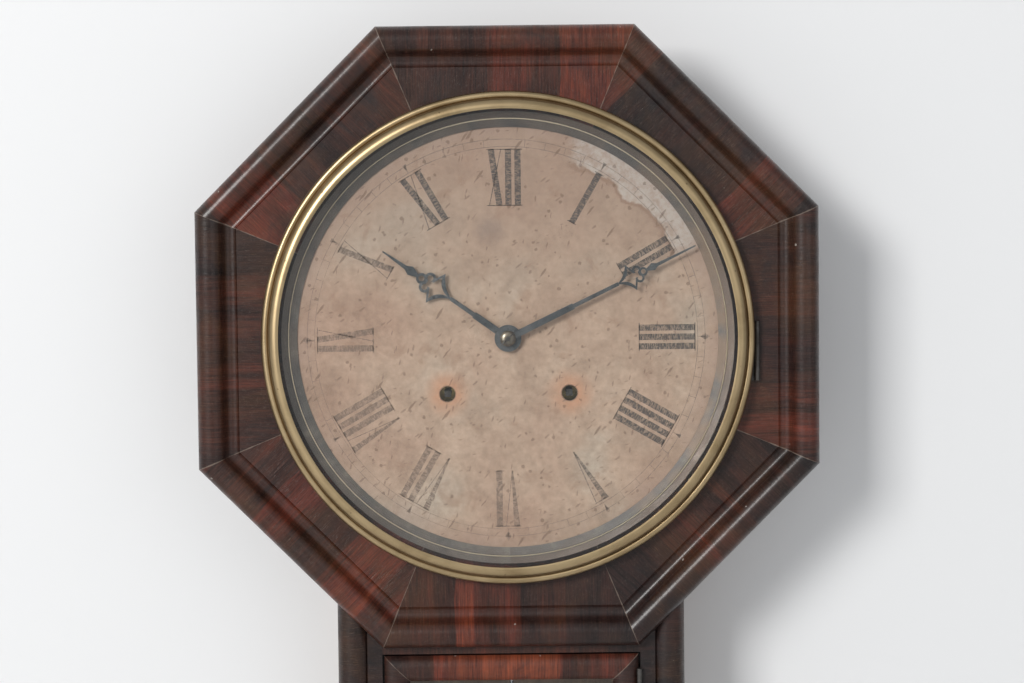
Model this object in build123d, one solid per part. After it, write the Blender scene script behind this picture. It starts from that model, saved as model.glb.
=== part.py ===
from build123d import *
import math
import os

# An octagonal drop-case wall clock with an eight-day striking movement.
# The wall is the plane Y = 0, the dial faces -Y and +Z is up.
# The model is drawn about the dial's centre and moved, as it is written out,
# so that its origin is the hole of the hanger.
# A depth is a distance forward from the wall, so its Y is negative.
# Angles are seen from the front, from +X towards +Z.

# Case
ACROSS_FLATS = 432.0
TRUNK_WIDTH = 243.0
DROP_BELOW_HEAD = 195.0
LOWER_CORNER = 80.0
BOARD = 10.0
BACK_THICKNESS = 8.0
BOX_FRONT = 72.0
BOX_TOP = 165.0
HANGER_HOLE_HEIGHT = 176.0
HANGER_HOLE_RADIUS = 4.0

# Octagonal head
HEAD_FLAT_FRONT = 88.0
HEAD_BEAD_CREST = 98.0
HEAD_BEAD_WIDTH = 19.0
HEAD_COVE_WIDTH = 9.0
HEAD_OPENING_RADIUS = 105.0

# Trunk front and its door
TRUNK_FLAT_FRONT = 84.0
TRUNK_BEAD_CREST = 89.0
TRUNK_BEAD_WIDTH = 19.5
TRUNK_OPENING_HALF = 90.4
DOOR_STOP = 5.0
DOOR_HALF = 89.0
DOOR_TOP_BELOW_HEAD = 7.0
DOOR_RAIL_WIDTH = 17.8
DOOR_BACK = 75.8
DOOR_EDGE_FRONT = 83.0
DOOR_CREST = 87.0
DOOR_REBATE = 5.0
DOOR_GLASS = 2.0

# Dial and bezel
DIAL_PAN_RADIUS = 157.0
DIAL_PAPER_RADIUS = 149.6
DIAL_PAN_FRONT = 88.8
DIAL_FRONT = 89.1
SIGHT_INNER_RADIUS = 146.0
BEZEL_RADIUS = 170.4
BEZEL_SIGHT_RADIUS = 158.4
BEZEL_CREST = 105.0
BEZEL_GLASS_RADIUS = 160.8
BEZEL_HINGE_X = 172.8
BEZEL_HINGE_DEPTH = 90.3
BEZEL_HINGE_HEIGHT = -10.7
BEZEL_HINGE_LENGTH = 41.0

# Hands
MINUTE_LENGTH = 144.5
HOUR_LENGTH = 105.5
HOUR_SHOWN = 10
MINUTE_SHOWN = 10.7
HAND_THICKNESS = 0.9
HOUR_HAND_BACK = 92.2
MINUTE_HAND_BACK = 95.0
PIN_DEPTH = 98.3

# Movement plates and arbors
PLATE = 1.6
BACK_PLATE = 34.0
FRONT_PLATE = 62.0
PLATE_HALF_WIDTH = 60.0
PLATE_TOP = 62.0
PLATE_BOTTOM = -84.0
RUNNING = 0.06
WINDING_X = 42.4
WINDING_Z = -38.5
WINDING_HOLE_RADIUS = 5.4
WINDING_SQUARE = 4.4
PILLAR_X = 53.0
PILLAR_HIGH = 50.0
PILLAR_LOW = -77.0
GREAT_TEETH, SECOND_LEAVES, GREAT_MODULE = 60, 10, 1.0
SECOND_TEETH, CENTRE_LEAVES, SECOND_MODULE = 32, 16, 1.0
CENTRE_TEETH, THIRD_LEAVES, CENTRE_MODULE = 60, 6, 0.65
THIRD_TEETH, ESCAPE_LEAVES, THIRD_MODULE = 45, 6, 0.75
CANNON_LEAVES, MINUTE_TEETH, CANNON_MODULE = 12, 36, 0.7
MINUTE_LEAVES, HOUR_TEETH, HOUR_MODULE = 10, 40, 0.672
MINUTE_WHEEL_ANGLE = 160.0
THIRD_WHEEL_ANGLE = 45.0
ESCAPE_TEETH = 40
ESCAPE_RADIUS = 16.0
PALLET_SPAN_TEETH = 7.5
NIB_CLEARANCE = 0.7
CRUTCH_FOOT = 6.0
RATCHET_TEETH = 16

# Layers of the movement, each from its back depth to its front depth
RATCHET_LAYER = (38.0, 39.8)
GREAT_LAYER = (40.0, 42.0)
SECOND_LAYER = (43.2, 44.7)
SECOND_PINION_LAYER = (39.0, 43.2)
CENTRE_PINION_LAYER = (42.4, 45.4)
ESCAPE_LAYER = (44.0, 45.0)
SPRING_LAYER = (46.0, 59.0)
CENTRE_LAYER = (50.0, 51.2)
THIRD_PINION_LAYER = (48.5, 53.0)
THIRD_LAYER = (56.0, 57.2)
ESCAPE_PINION_LAYER = (54.5, 59.0)
CANNON_LAYER = (66.8, 70.0)
MINUTE_WHEEL_LAYER = (67.2, 68.8)
MINUTE_PINION_LAYER = (68.8, 74.4)
HOUR_WHEEL_LAYER = (71.4, 73.0)
CRUTCH_LAYER = (30.0, 31.2)
GONG_LAYER = (14.0, 16.2)

# Radii of arbors and pivots
ARBOR = 1.25
PIVOT = 1.0
CENTRE_ARBOR = 1.6
CANNON_PIPE = 2.4
HOUR_PIPE = 3.4
WINDING_ARBOR = 3.0
WINDING_BACK_PIVOT = 2.0
WINDING_FRONT_PIVOT = 2.5
MINUTE_STUD = 1.4
SPOKE_WIDTH = 2.2

# Pendulum, gong and hammer
PENDULUM_LENGTH = 357.8
PENDULUM_DEPTH = 26.0
BOB_RADIUS = 22.0
BOB_THICKNESS = 9.0
GONG_Z = -165.0
HAMMER_X = -28.0
HAMMER_Z = 6.0

OCTAGON_HALF = ACROSS_FLATS / 2
OCTAGON_CORNER = OCTAGON_HALF / math.cos(math.radians(22.5))
TRUNK_HALF = TRUNK_WIDTH / 2
TRUNK_BOTTOM = -OCTAGON_HALF - DROP_BELOW_HEAD
TRUNK_CORNER = TRUNK_BOTTOM + LOWER_CORNER
DOOR_TOP = -OCTAGON_HALF - DOOR_TOP_BELOW_HEAD
BOTTOM_HALF = TRUNK_HALF - LOWER_CORNER


def polar(radius, degrees):
    """Point at a radius and an angle."""
    return (radius * math.cos(math.radians(degrees)), radius * math.sin(math.radians(degrees)))


def slab(sketch, back, front):
    """Prism of a sketch seen from the front, between two depths."""
    return Pos(0, -back, 0) * extrude(Plane.XZ * sketch, amount=front - back, dir=(0, -1, 0))


def rod(radius, back, front, x=0.0, z=0.0):
    """Round bar that runs straight forward."""
    return Pos(x, 0, z) * slab(Circle(radius), back, front)


def turned(points, x=0.0, z=0.0):
    """Solid of revolution about a line running forward. Points are (radius, depth) pairs."""
    flat = [(radius, -depth) for radius, depth in points]
    return Pos(x, 0, z) * revolve(Polygon(*flat, align=None), Axis.Y)


def turned_outline(line, x=0.0, z=0.0):
    """Solid of revolution of a closed line of (radius, -depth) points and arcs."""
    return Pos(x, 0, z) * revolve(make_face(line), Axis.Y)


def closed_face(points):
    """Face inside a closed polygon."""
    return Polygon(*points, align=None)


def group(pieces):
    """Separate solids kept side by side in one node."""
    return Compound([solid for piece in pieces for solid in piece.solids()])


def mirrored(corner):
    """The same point on the other side of the centre line."""
    return (-corner[0], corner[1])


def inward(start, end):
    """Unit vector to the left of the way from start to end."""
    length = math.dist(start, end)
    return ((start[1] - end[1]) / length, (end[0] - start[0]) / length)


def inset_corner(before, corner, after, distance):
    """Corner of the line that lies a distance inside the bent line through three points."""
    first, second = inward(before, corner), inward(corner, after)
    share = distance / (1 + first[0] * second[0] + first[1] * second[1])
    return (corner[0] + (first[0] + second[0]) * share, corner[1] + (first[1] + second[1]) * share)


def setback(before, corner, after):
    """How far a mitred end steps back for each millimetre of width."""
    first, second = inward(before, corner), inward(corner, after)
    return math.sqrt((1 - first[0] * second[0] - first[1] * second[1])
                     / (1 + first[0] * second[0] + first[1] * second[1]))


def mitred_rail(profile, width, start, end, start_setback, end_setback):
    """Moulding from start to end with mitred ends. The profile is drawn as (-depth, width)."""
    length = math.dist(start, end)
    angle = math.degrees(math.atan2(end[1] - start[1], end[0] - start[0]))
    plan = closed_face([(0, 0), (length, 0), (length - width * end_setback, width),
                        (width * start_setback, width)])
    bar = extrude(Plane.YZ * profile, amount=length, dir=(1, 0, 0))
    rail = bar & slab(plan, 0, 2 * HEAD_BEAD_CREST)
    return Pos(start[0], 0, start[1]) * Rot(0, -angle, 0) * rail


def mitred_frame(profile, width, corners, closed):
    """Rails along a line of corners, mitred where two meet."""
    count = len(corners)
    rails = []
    for index in range(count if closed else count - 1):
        start, end = corners[index], corners[(index + 1) % count]
        has_before = closed or index > 0
        has_after = closed or index < count - 2
        first = setback(corners[index - 1], start, end) if has_before else 0.0
        last = setback(start, end, corners[(index + 2) % count]) if has_after else 0.0
        rails.append(mitred_rail(profile, width, start, end, first, last))
    return rails


def octagon_corners():
    """Corners of the head, from the left end of its bottom side, anticlockwise."""
    return [polar(OCTAGON_CORNER, -112.5 + 45 * index) for index in range(8)]


def trunk_line(top):
    """Outer line of the trunk, down the left side, round the bottom and up the right."""
    left = [(-TRUNK_HALF, top), (-TRUNK_HALF, TRUNK_CORNER), (-BOTTOM_HALF, TRUNK_BOTTOM)]
    return left + [mirrored(corner) for corner in reversed(left)]


def door_line(margin):
    """Outline of the trunk door, brought in by a margin."""
    outer = trunk_line(0)
    low = inset_corner(outer[0], outer[1], outer[2], TRUNK_HALF - DOOR_HALF + margin)
    bottom = inset_corner(outer[1], outer[2], outer[3], TRUNK_HALF - DOOR_HALF + margin)
    left = [(-DOOR_HALF + margin, DOOR_TOP - margin), low, bottom]
    return left + [mirrored(corner) for corner in reversed(left)]


def hanger_screws():
    """Countersunk wood screws that hold the hanger plate, heads flush with the wall."""
    shape = [(0, 0), (3.4, 0), (1.8, 1.6), (1.8, 7.5), (0, 7.5)]
    return Part() + [turned(shape, side * 8, 148) for side in (-1, 1)]


def backboard():
    """Back of the case, with the hanger plate let in."""
    line = trunk_line(BOX_TOP)
    board = slab(closed_face(line), 0, BACK_THICKNESS)
    return board - hanger_plate_blank() - hanger_screws()


def hanger_plate_blank():
    """Outline of the hanger plate, before its holes."""
    ear = Pos(0, HANGER_HOLE_HEIGHT) * Circle(14)
    foot = closed_face([(-14, 138), (14, 138), (14, HANGER_HOLE_HEIGHT), (-14, HANGER_HOLE_HEIGHT)])
    return slab(ear + foot, 0, 2)


def hanger_plate():
    """Brass hanger plate with the hole that hangs on the wall screw."""
    hole = rod(HANGER_HOLE_RADIUS, -1, 3, 0, HANGER_HOLE_HEIGHT)
    return hanger_plate_blank() - hole - hanger_screws()


def box_boards():
    """Side, top and bottom boards of the case, glued up with mitres below."""
    profile = closed_face([(-BACK_THICKNESS, 0), (-BOX_FRONT, 0), (-BOX_FRONT, BOARD),
                           (-BACK_THICKNESS, BOARD)])
    left, lower_left, bottom, lower_right, right = mitred_frame(
        profile, BOARD, trunk_line(BOX_TOP), False)
    inner = TRUNK_HALF - BOARD
    top = slab(closed_face([(-inner, BOX_TOP - BOARD), (inner, BOX_TOP - BOARD),
                            (inner, BOX_TOP), (-inner, BOX_TOP)]), BACK_THICKNESS, BOX_FRONT)
    return group([left, right]), group([top, lower_left, bottom, lower_right])


def head_segments():
    """Eight mitred segments of the head, each with its bead, cove and flat."""
    reach = OCTAGON_HALF - HEAD_OPENING_RADIUS * math.cos(math.radians(22.5)) + 2
    bead_end = HEAD_BEAD_WIDTH
    cove_start = (-HEAD_FLAT_FRONT - 2.2, bead_end + 0.6)
    cove_end = (-HEAD_FLAT_FRONT - 0.6, bead_end + HEAD_COVE_WIDTH)
    line = Polyline((-HEAD_FLAT_FRONT, reach), (-BOX_FRONT, reach), (-BOX_FRONT, 0),
                    (-HEAD_FLAT_FRONT, 0))
    line += ThreePointArc((-HEAD_FLAT_FRONT, 0), (-HEAD_BEAD_CREST, bead_end * 0.48),
                          (-HEAD_FLAT_FRONT - 3, bead_end))
    line += Line((-HEAD_FLAT_FRONT - 3, bead_end), cove_start)
    line += ThreePointArc(cove_start, (-HEAD_FLAT_FRONT + 0.6, bead_end + HEAD_COVE_WIDTH * 0.5), cove_end)
    line += Polyline(cove_end, (-HEAD_FLAT_FRONT, cove_end[1] + 0.5), (-HEAD_FLAT_FRONT, reach))
    rails = mitred_frame(make_face(line), reach, octagon_corners(), True)
    opening = rod(HEAD_OPENING_RADIUS, 0, 2 * HEAD_BEAD_CREST)
    names = ["bottom", "bottom_right", "right", "top_right", "top", "top_left", "left", "bottom_left"]
    return {"head_" + name: rail - opening for name, rail in zip(names, rails)}


def trunk_mouldings():
    """Mitred mouldings of the trunk front: a bead, a flat and the lip that stops the door."""
    flat_end = TRUNK_HALF - TRUNK_OPENING_HALF
    lip_end = flat_end + DOOR_STOP
    bead = TRUNK_BEAD_WIDTH
    line = Polyline((-TRUNK_FLAT_FRONT, flat_end), (-DOOR_BACK + 0.3, flat_end),
                    (-DOOR_BACK + 0.3, lip_end), (-BOX_FRONT, lip_end), (-BOX_FRONT, 0),
                    (-TRUNK_FLAT_FRONT + 4, 0))
    line += ThreePointArc((-TRUNK_FLAT_FRONT + 4, 0), (-TRUNK_BEAD_CREST, bead * 0.55),
                          (-TRUNK_FLAT_FRONT - 1, bead))
    line += Polyline((-TRUNK_FLAT_FRONT - 1, bead), (-TRUNK_FLAT_FRONT + 0.8, bead + 0.4),
                     (-TRUNK_FLAT_FRONT, bead + 1.2), (-TRUNK_FLAT_FRONT, flat_end))
    line_top = -OCTAGON_HALF + 40
    rails = mitred_frame(make_face(line), lip_end, trunk_line(line_top), False)
    head = slab(closed_face(octagon_corners()), 0, 2 * HEAD_BEAD_CREST)
    rails = [rail - head for rail in rails]
    strip_foot = DOOR_TOP + TRUNK_OPENING_HALF - DOOR_HALF
    top = slab(closed_face([(-TRUNK_OPENING_HALF, strip_foot), (TRUNK_OPENING_HALF, strip_foot),
                            (TRUNK_OPENING_HALF, -OCTAGON_HALF), (-TRUNK_OPENING_HALF, -OCTAGON_HALF)]),
               BOX_FRONT, TRUNK_FLAT_FRONT)
    top += slab(closed_face([(-TRUNK_OPENING_HALF, strip_foot - DOOR_STOP),
                             (TRUNK_OPENING_HALF, strip_foot - DOOR_STOP),
                             (TRUNK_OPENING_HALF, -OCTAGON_HALF), (-TRUNK_OPENING_HALF, -OCTAGON_HALF)]),
                BOX_FRONT, DOOR_BACK - 0.3)
    top = top - rails[0] - rails[4]
    names = ["trunk_stile_left", "trunk_lower_left", "trunk_bottom_rail", "trunk_lower_right",
             "trunk_stile_right"]
    nodes = dict(zip(names, rails))
    nodes["trunk_top_rail"] = top
    return nodes


def door_rails():
    """Mitred rails of the trunk door, cushion-shaped in front and rebated behind for the glass."""
    width = DOOR_RAIL_WIDTH
    line = ThreePointArc((-DOOR_EDGE_FRONT, 0), (-DOOR_CREST, width * 0.5), (-DOOR_EDGE_FRONT + 1, width))
    line += Polyline((-DOOR_EDGE_FRONT + 1, width), (-DOOR_BACK - DOOR_GLASS - 0.6, width),
                     (-DOOR_BACK - DOOR_GLASS - 0.6, width - DOOR_REBATE),
                     (-DOOR_BACK, width - DOOR_REBATE), (-DOOR_BACK, 0), (-DOOR_EDGE_FRONT, 0))
    names = ["door_stile_left", "door_lower_left", "door_bottom_rail", "door_lower_right",
             "door_stile_right", "door_top_rail"]
    return dict(zip(names, mitred_frame(make_face(line), width, door_line(0), True)))


def door_glass():
    """Pane in the rebate of the trunk door."""
    edge = DOOR_RAIL_WIDTH - DOOR_REBATE + 0.3
    return slab(closed_face(door_line(edge)), DOOR_BACK + 0.6, DOOR_BACK + 0.6 + DOOR_GLASS)


def door_pull():
    """Small turned brass knob on the free stile."""
    x, z = -DOOR_HALF + DOOR_RAIL_WIDTH / 2, (DOOR_TOP + TRUNK_CORNER) / 2
    base = DOOR_CREST
    stem = [(0, base - 7), (1.8, base - 7), (1.8, base - 0.8)]
    collar = [(4.2, base - 0.8), (4.2, base + 1), (2, base + 2), (2, base + 4.5)]
    knob = [(4.4, base + 7), (4.6, base + 9), (3.2, base + 11), (0, base + 11.8)]
    shape = stem + collar + knob
    return turned(shape, x, z)


def hinge_leaf(length, reach, offset, thickness, barrel, is_moving):
    """Leaf of a butt hinge about the Z axis. The leaf lies towards -X, its near face at the offset.

    The fixed leaf has the outer knuckles and the pin, the moving leaf the middle knuckle."""
    pin_radius, knuckle, slit = barrel * 0.45, length / 3, 0.15
    root = -(barrel + 0.6)
    plate = extrude(closed_face([(-reach, offset), (root, offset), (root, offset + thickness),
                                 (-reach, offset + thickness)]), amount=length, dir=(0, 0, 1))
    arm = closed_face([(root, offset), (0, offset), (0, offset + thickness), (root, offset + thickness)])
    leaf = Part() + plate
    for index in (1,) if is_moving else (0, 2):
        low = index * knuckle + (slit if index else 0)
        high = (index + 1) * knuckle - (0 if index == 2 else slit)
        leaf += Pos(0, 0, low) * extrude(arm + Circle(barrel), amount=high - low, dir=(0, 0, 1))
    if is_moving:
        leaf -= Cylinder(pin_radius + RUNNING, length, align=(Align.CENTER, Align.CENTER, Align.MIN))
    else:
        leaf += Cylinder(pin_radius, length, align=(Align.CENTER, Align.CENTER, Align.MIN))
    return Pos(0, 0, -length / 2) * leaf


def door_hinges(is_moving):
    """Both hinges of the trunk door. Each leaf stands in the gap, against what it is screwed to."""
    axis_x, axis_depth = DOOR_HALF + 0.7, TRUNK_FLAT_FRONT + 2.35
    offset = -0.7 if is_moving else 0.1
    leaf = Rot(0, 0, -90) * hinge_leaf(30, 10.3, offset, 0.6, 2.0, is_moving)
    return Part() + [Pos(axis_x, -axis_depth, height) * leaf for height in (-248, -298)]


def bezel_hinge(is_moving):
    """Leaf of the bezel hinge. Shut, both leaves lie under the bezel."""
    offset = 0.55 if is_moving else 1.5
    leaf = hinge_leaf(BEZEL_HINGE_LENGTH, 12, offset, 0.8, 2.0, is_moving)
    return Pos(BEZEL_HINGE_X, -BEZEL_HINGE_DEPTH, BEZEL_HINGE_HEIGHT) * leaf


def bezel_ring():
    """Cast brass bezel with two beads, a rebate for the glass and a notch for the hinge leaf."""
    outer, sight, foot = BEZEL_RADIUS, BEZEL_SIGHT_RADIUS, HEAD_FLAT_FRONT + 0.4
    line = Line((outer, -foot), (outer, -94.5))
    line += ThreePointArc((outer, -94.5), (168.4, -98.8), (165.6, -97.6))
    line += ThreePointArc((165.6, -97.6), (163.6, -103.4), (sight, -BEZEL_CREST + 0.6))
    line += Polyline((sight, -BEZEL_CREST + 0.6), (sight, -102.8), (161.0, -102.8), (161.0, -97.5),
                     (164.0, -93.5), (164.0, -foot), (outer, -foot))
    notch_half = BEZEL_HINGE_LENGTH / 2 + 0.3
    notch = slab(closed_face([(157, BEZEL_HINGE_HEIGHT - notch_half), (173, BEZEL_HINGE_HEIGHT - notch_half),
                              (173, BEZEL_HINGE_HEIGHT + notch_half), (157, BEZEL_HINGE_HEIGHT + notch_half)]),
                 foot - 1, BEZEL_HINGE_DEPTH - 0.55)
    return turned_outline(line) - notch


def bezel_glass():
    """Flat glass over the dial."""
    return rod(BEZEL_GLASS_RADIUS, 100.8, 102.8)


def dial_disc(radius, back, front):
    """Disc with a centre hole and two winding holes."""
    face = Circle(radius) - Circle(5.5)
    for side in (-1, 1):
        face -= Pos(side * WINDING_X, WINDING_Z) * Circle(WINDING_HOLE_RADIUS)
    return slab(face, back, front)


def sight_ring():
    """Stepped ring that frames the dial: an inner slope, a fine bead and an outer slope."""
    return turned([(SIGHT_INNER_RADIUS, DIAL_FRONT), (SIGHT_INNER_RADIUS, DIAL_FRONT + 0.8), (151.2, 91.4),
                   (151.6, 92.3), (152.2, 92.3), (152.5, 91.6), (156.9, 93.6), (157.0, DIAL_PAN_FRONT),
                   (DIAL_PAPER_RADIUS + 0.1, DIAL_PAN_FRONT), (DIAL_PAPER_RADIUS + 0.1, DIAL_FRONT)])


def cusped(base, waist, spike, shoulder):
    """Pointed shape of a hand's openwork: two hollow sides that flare to a spike each."""
    line = ThreePointArc((0, base), waist, spike) + Line(spike, shoulder)
    line += Line(shoulder, mirrored(shoulder)) + Line(mirrored(shoulder), mirrored(spike))
    line += ThreePointArc(mirrored(spike), mirrored(waist), (0, base))
    return make_face(line)


def openwork(base, size):
    """Pierced part of a hand: cusps, a pair of lobes, an eye and a barbed spear."""
    def at(x, y):
        return (x * size, base + y * size)

    strap, lobe = 1.9 * size, 3.9 * size
    solid = cusped(base - 0.6, at(4.9, 8.0), at(12.2, 13.2), at(4.4, 17.6))
    hollow = cusped(base + 3.2 * size, at(3.0, 10.1), at(8.7, 13.6), at(2.2, 16.8))
    solid += Pos(*at(0, 18.6)) * Rectangle(8.4 * size, 4.5 * size)
    hollow += Pos(*at(0, 18.4)) * Rectangle(4.2 * size, 4.4 * size)
    for side in (-1, 1):
        solid += Pos(*at(side * 3.7, 20.2)) * Circle(lobe)
        hollow += Pos(*at(side * 3.7, 20.2)) * Circle(lobe - strap)
    solid += Pos(*at(0, 25.0)) * Circle(lobe)
    eye = Pos(*at(0, 25.2)) * Circle(lobe - strap)
    spear = closed_face([at(-1.1, 28.3), at(1.1, 28.3), at(3.4, 34.7), at(1.4, 38.5), at(-1.4, 38.5),
                         at(-3.4, 34.7)])
    return solid + spear - hollow - eye


def hand(length, base, size, bar, boss, bore, back):
    """Clock hand that points up: boss, stepped bar, openwork and a tapering point."""
    step = base * 0.6
    point_base = base + 38.0 * size
    shape = Circle(boss)
    shape += closed_face([(-bar, 0), (bar, 0), (bar * 0.92, step), (-bar * 0.92, step)])
    shape += closed_face([(-bar * 0.62, step), (bar * 0.62, step), (bar * 0.55, base + 1), (-bar * 0.55, base + 1)])
    shape += openwork(base, size)
    shape += closed_face([(-1.45 * size, point_base), (1.45 * size, point_base), (0.45, length), (-0.45, length)])
    return slab(shape - Circle(bore), back, back + HAND_THICKNESS)


def set_to(piece, clockwise_degrees):
    """Turn a hand clockwise from twelve."""
    return Rot(0, clockwise_degrees, 0) * piece


def tooth_points(teeth, module, addendum, dedendum, tip, root, phase):
    """Outline of a gear. Addendum and dedendum are in modules, tip and root widths in pitches."""
    pitch, radius = 360.0 / teeth, module * teeth / 2
    shape = ((radius - dedendum * module, -root / 2), (radius + addendum * module, -tip / 2),
             (radius + addendum * module, tip / 2), (radius - dedendum * module, root / 2))
    return [polar(r, phase + (index + share) * pitch) for index in range(teeth) for r, share in shape]


def wheel(teeth, module, back, front, bore, phase, hub, spokes=4):
    """Cut brass wheel with crossed-out spokes."""
    rim = module * teeth / 2 - 1.3 * module - 2.2
    face = closed_face(tooth_points(teeth, module, 0.9, 1.3, 0.20, 0.56, phase))
    windows = Circle(rim) - Circle(hub)
    for index in range(spokes):
        windows -= Rot(0, 0, index * 360 / spokes) * Pos(rim / 2, 0) * Rectangle(rim + 2, SPOKE_WIDTH)
    return slab(face - windows - Circle(bore), back, front)


def pinion(leaves, module, back, front, phase):
    """Cut steel pinion."""
    return slab(closed_face(tooth_points(leaves, module, 0.7, 1.5, 0.15, 0.46, phase)), back, front)


def spiral_strip(inner, pitch, half_turns, thickness):
    """Flat spiral of half circles, whose centres step to and fro by a quarter of the pitch."""
    strip = Sketch()
    span = 2 * (inner + pitch * half_turns)
    for index in range(half_turns):
        upper = index % 2 == 0
        radius = inner + index * pitch / 2
        half = Pos(0, span / 2 if upper else -span / 2) * Rectangle(span, span)
        ring = Circle(radius + thickness / 2) - Circle(radius - thickness / 2)
        strip += (Pos(pitch / 4 if upper else -pitch / 4, 0) * ring) & half
    return strip


GREAT_PLACE = (WINDING_X, WINDING_Z)
SECOND_REACH = GREAT_MODULE * (GREAT_TEETH + SECOND_LEAVES) / 2
SECOND_CENTRE = SECOND_MODULE * (SECOND_TEETH + CENTRE_LEAVES) / 2


def second_place():
    """Arbor of the second wheel, in mesh with both the great wheel and the centre pinion."""
    apart = math.hypot(*GREAT_PLACE)
    along = (SECOND_CENTRE ** 2 - SECOND_REACH ** 2 + apart ** 2) / (2 * apart)
    across = math.sqrt(SECOND_CENTRE ** 2 - along ** 2)
    ux, uz = GREAT_PLACE[0] / apart, GREAT_PLACE[1] / apart
    return (along * ux - across * uz, along * uz + across * ux)


SECOND_PLACE = second_place()
THIRD_PLACE = polar(CENTRE_MODULE * (CENTRE_TEETH + THIRD_LEAVES) / 2, THIRD_WHEEL_ANGLE)
ESCAPE_REACH = THIRD_MODULE * (THIRD_TEETH + ESCAPE_LEAVES) / 2
ESCAPE_PLACE = (0.0, THIRD_PLACE[1] + math.sqrt(ESCAPE_REACH ** 2 - THIRD_PLACE[0] ** 2))
PALLET_HALF_ANGLE = 180.0 * PALLET_SPAN_TEETH / ESCAPE_TEETH
PALLET_PLACE = (0.0, ESCAPE_PLACE[1] + ESCAPE_RADIUS / math.cos(math.radians(PALLET_HALF_ANGLE)))
MINUTE_PLACE = polar(CANNON_MODULE * (CANNON_LEAVES + MINUTE_TEETH) / 2, MINUTE_WHEEL_ANGLE)


def bearing(start, end):
    """Angle of the way from one arbor to another."""
    return math.degrees(math.atan2(end[1] - start[1], end[0] - start[0]))


def meshed(start, end, teeth):
    """Phase that sets a gap of the gear at end on the line to the gear at start."""
    return bearing(end, start) + 180.0 / teeth


def great_wheel(mirror_side):
    """Great wheel, with the click that holds the ratchet riveted to its back."""
    x, z = mirror_side * WINDING_X, WINDING_Z
    phase = bearing(GREAT_PLACE, SECOND_PLACE) if mirror_side > 0 else 0.0
    gear = wheel(GREAT_TEETH, GREAT_MODULE, *GREAT_LAYER, WINDING_ARBOR + RUNNING, phase, 14)
    click = closed_face([(10.3, -1.2), (18, -6), (20, -2), (11.5, 1.0)])
    gear += slab(click, RATCHET_LAYER[0], GREAT_LAYER[0]) + rod(1.6, 37.4, GREAT_LAYER[0], 18, -3.6)
    return Pos(x, 0, z) * gear


def winding_arbor(mirror_side):
    """Winding arbor with its ratchet and the square that the key turns."""
    x, z = mirror_side * WINDING_X, WINDING_Z
    ratchet = [polar(r, 360 * (index + share) / RATCHET_TEETH) for index in range(RATCHET_TEETH)
               for r, share in ((7.4, 0.1), (9.4, 0.0))]
    back_shoulder, front_shoulder, square_foot, square_end = 36.4, FRONT_PLATE - 0.4, 68, 87
    arbor = rod(WINDING_BACK_PIVOT, BACK_PLATE - 0.6, back_shoulder)
    arbor += rod(WINDING_ARBOR, back_shoulder, front_shoulder)
    arbor += rod(WINDING_FRONT_PIVOT, front_shoulder, square_foot) + slab(closed_face(ratchet), *RATCHET_LAYER)
    arbor += slab(Rectangle(WINDING_SQUARE, WINDING_SQUARE), square_foot, square_end)
    return Pos(x, 0, z) * arbor


def mainsprings():
    """Coiled mainsprings. The inner end lies on the winding arbor, the outer end loops round a pillar."""
    inner, pitch, half_turns, strip = 5.0, 5.0, 7, 0.8
    end_x = pitch / 4 + inner + (half_turns - 1) * pitch / 2
    pillar = (PILLAR_X - WINDING_X, PILLAR_LOW - WINDING_Z)
    loop = 4.0
    tail = closed_face([(end_x - strip / 2, strip / 2), (end_x + strip / 2, strip / 2),
                        (pillar[0] + loop + strip / 2, pillar[1]), (pillar[0] + loop - strip / 2, pillar[1])])
    eye = Pos(*pillar) * (Circle(loop + strip / 2) - Circle(loop - strip / 2))
    coil = slab(spiral_strip(inner, pitch, half_turns, strip), *SPRING_LAYER)
    coil = Pos(WINDING_X, 0, WINDING_Z) * (coil + slab(tail, *SPRING_LAYER) + slab(eye, *SPRING_LAYER))
    return group([coil, mirror(coil, Plane.YZ)])


def arbor(place):
    """Steel arbor with a thinner pivot at each end."""
    body = rod(ARBOR, BACK_PLATE + PLATE + 0.2, FRONT_PLATE - 0.2)
    body += rod(PIVOT, BACK_PLATE - 0.4, FRONT_PLATE + PLATE + 0.4)
    return Pos(place[0], 0, place[1]) * body


def second_wheel():
    """Second wheel of the going train, with its pinion and arbor."""
    gear = wheel(SECOND_TEETH, SECOND_MODULE, *SECOND_LAYER, 0.5, bearing(SECOND_PLACE, (0, 0)), 4.5)
    phase = meshed(GREAT_PLACE, SECOND_PLACE, SECOND_LEAVES)
    gear += pinion(SECOND_LEAVES, GREAT_MODULE, *SECOND_PINION_LAYER, phase)
    return Pos(SECOND_PLACE[0], 0, SECOND_PLACE[1]) * gear + arbor(SECOND_PLACE)


def centre_wheel():
    """Centre wheel, which drives the hands' arbor by friction, with its pinion."""
    gear = wheel(CENTRE_TEETH, CENTRE_MODULE, *CENTRE_LAYER, 0.5, bearing((0, 0), THIRD_PLACE), 4.5)
    phase = meshed(SECOND_PLACE, (0, 0), CENTRE_LEAVES)
    gear += pinion(CENTRE_LEAVES, SECOND_MODULE, *CENTRE_PINION_LAYER, phase)
    gear += rod(3.2, CENTRE_PINION_LAYER[1], 53)
    return gear - rod(CENTRE_ARBOR + RUNNING, 40, 56)


def third_wheel():
    """Third wheel with its pinion and arbor."""
    gear = wheel(THIRD_TEETH, THIRD_MODULE, *THIRD_LAYER, 0.5, bearing(THIRD_PLACE, ESCAPE_PLACE), 4)
    phase = meshed((0, 0), THIRD_PLACE, THIRD_LEAVES)
    gear += pinion(THIRD_LEAVES, CENTRE_MODULE, *THIRD_PINION_LAYER, phase)
    return Pos(THIRD_PLACE[0], 0, THIRD_PLACE[1]) * gear + arbor(THIRD_PLACE)


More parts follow.
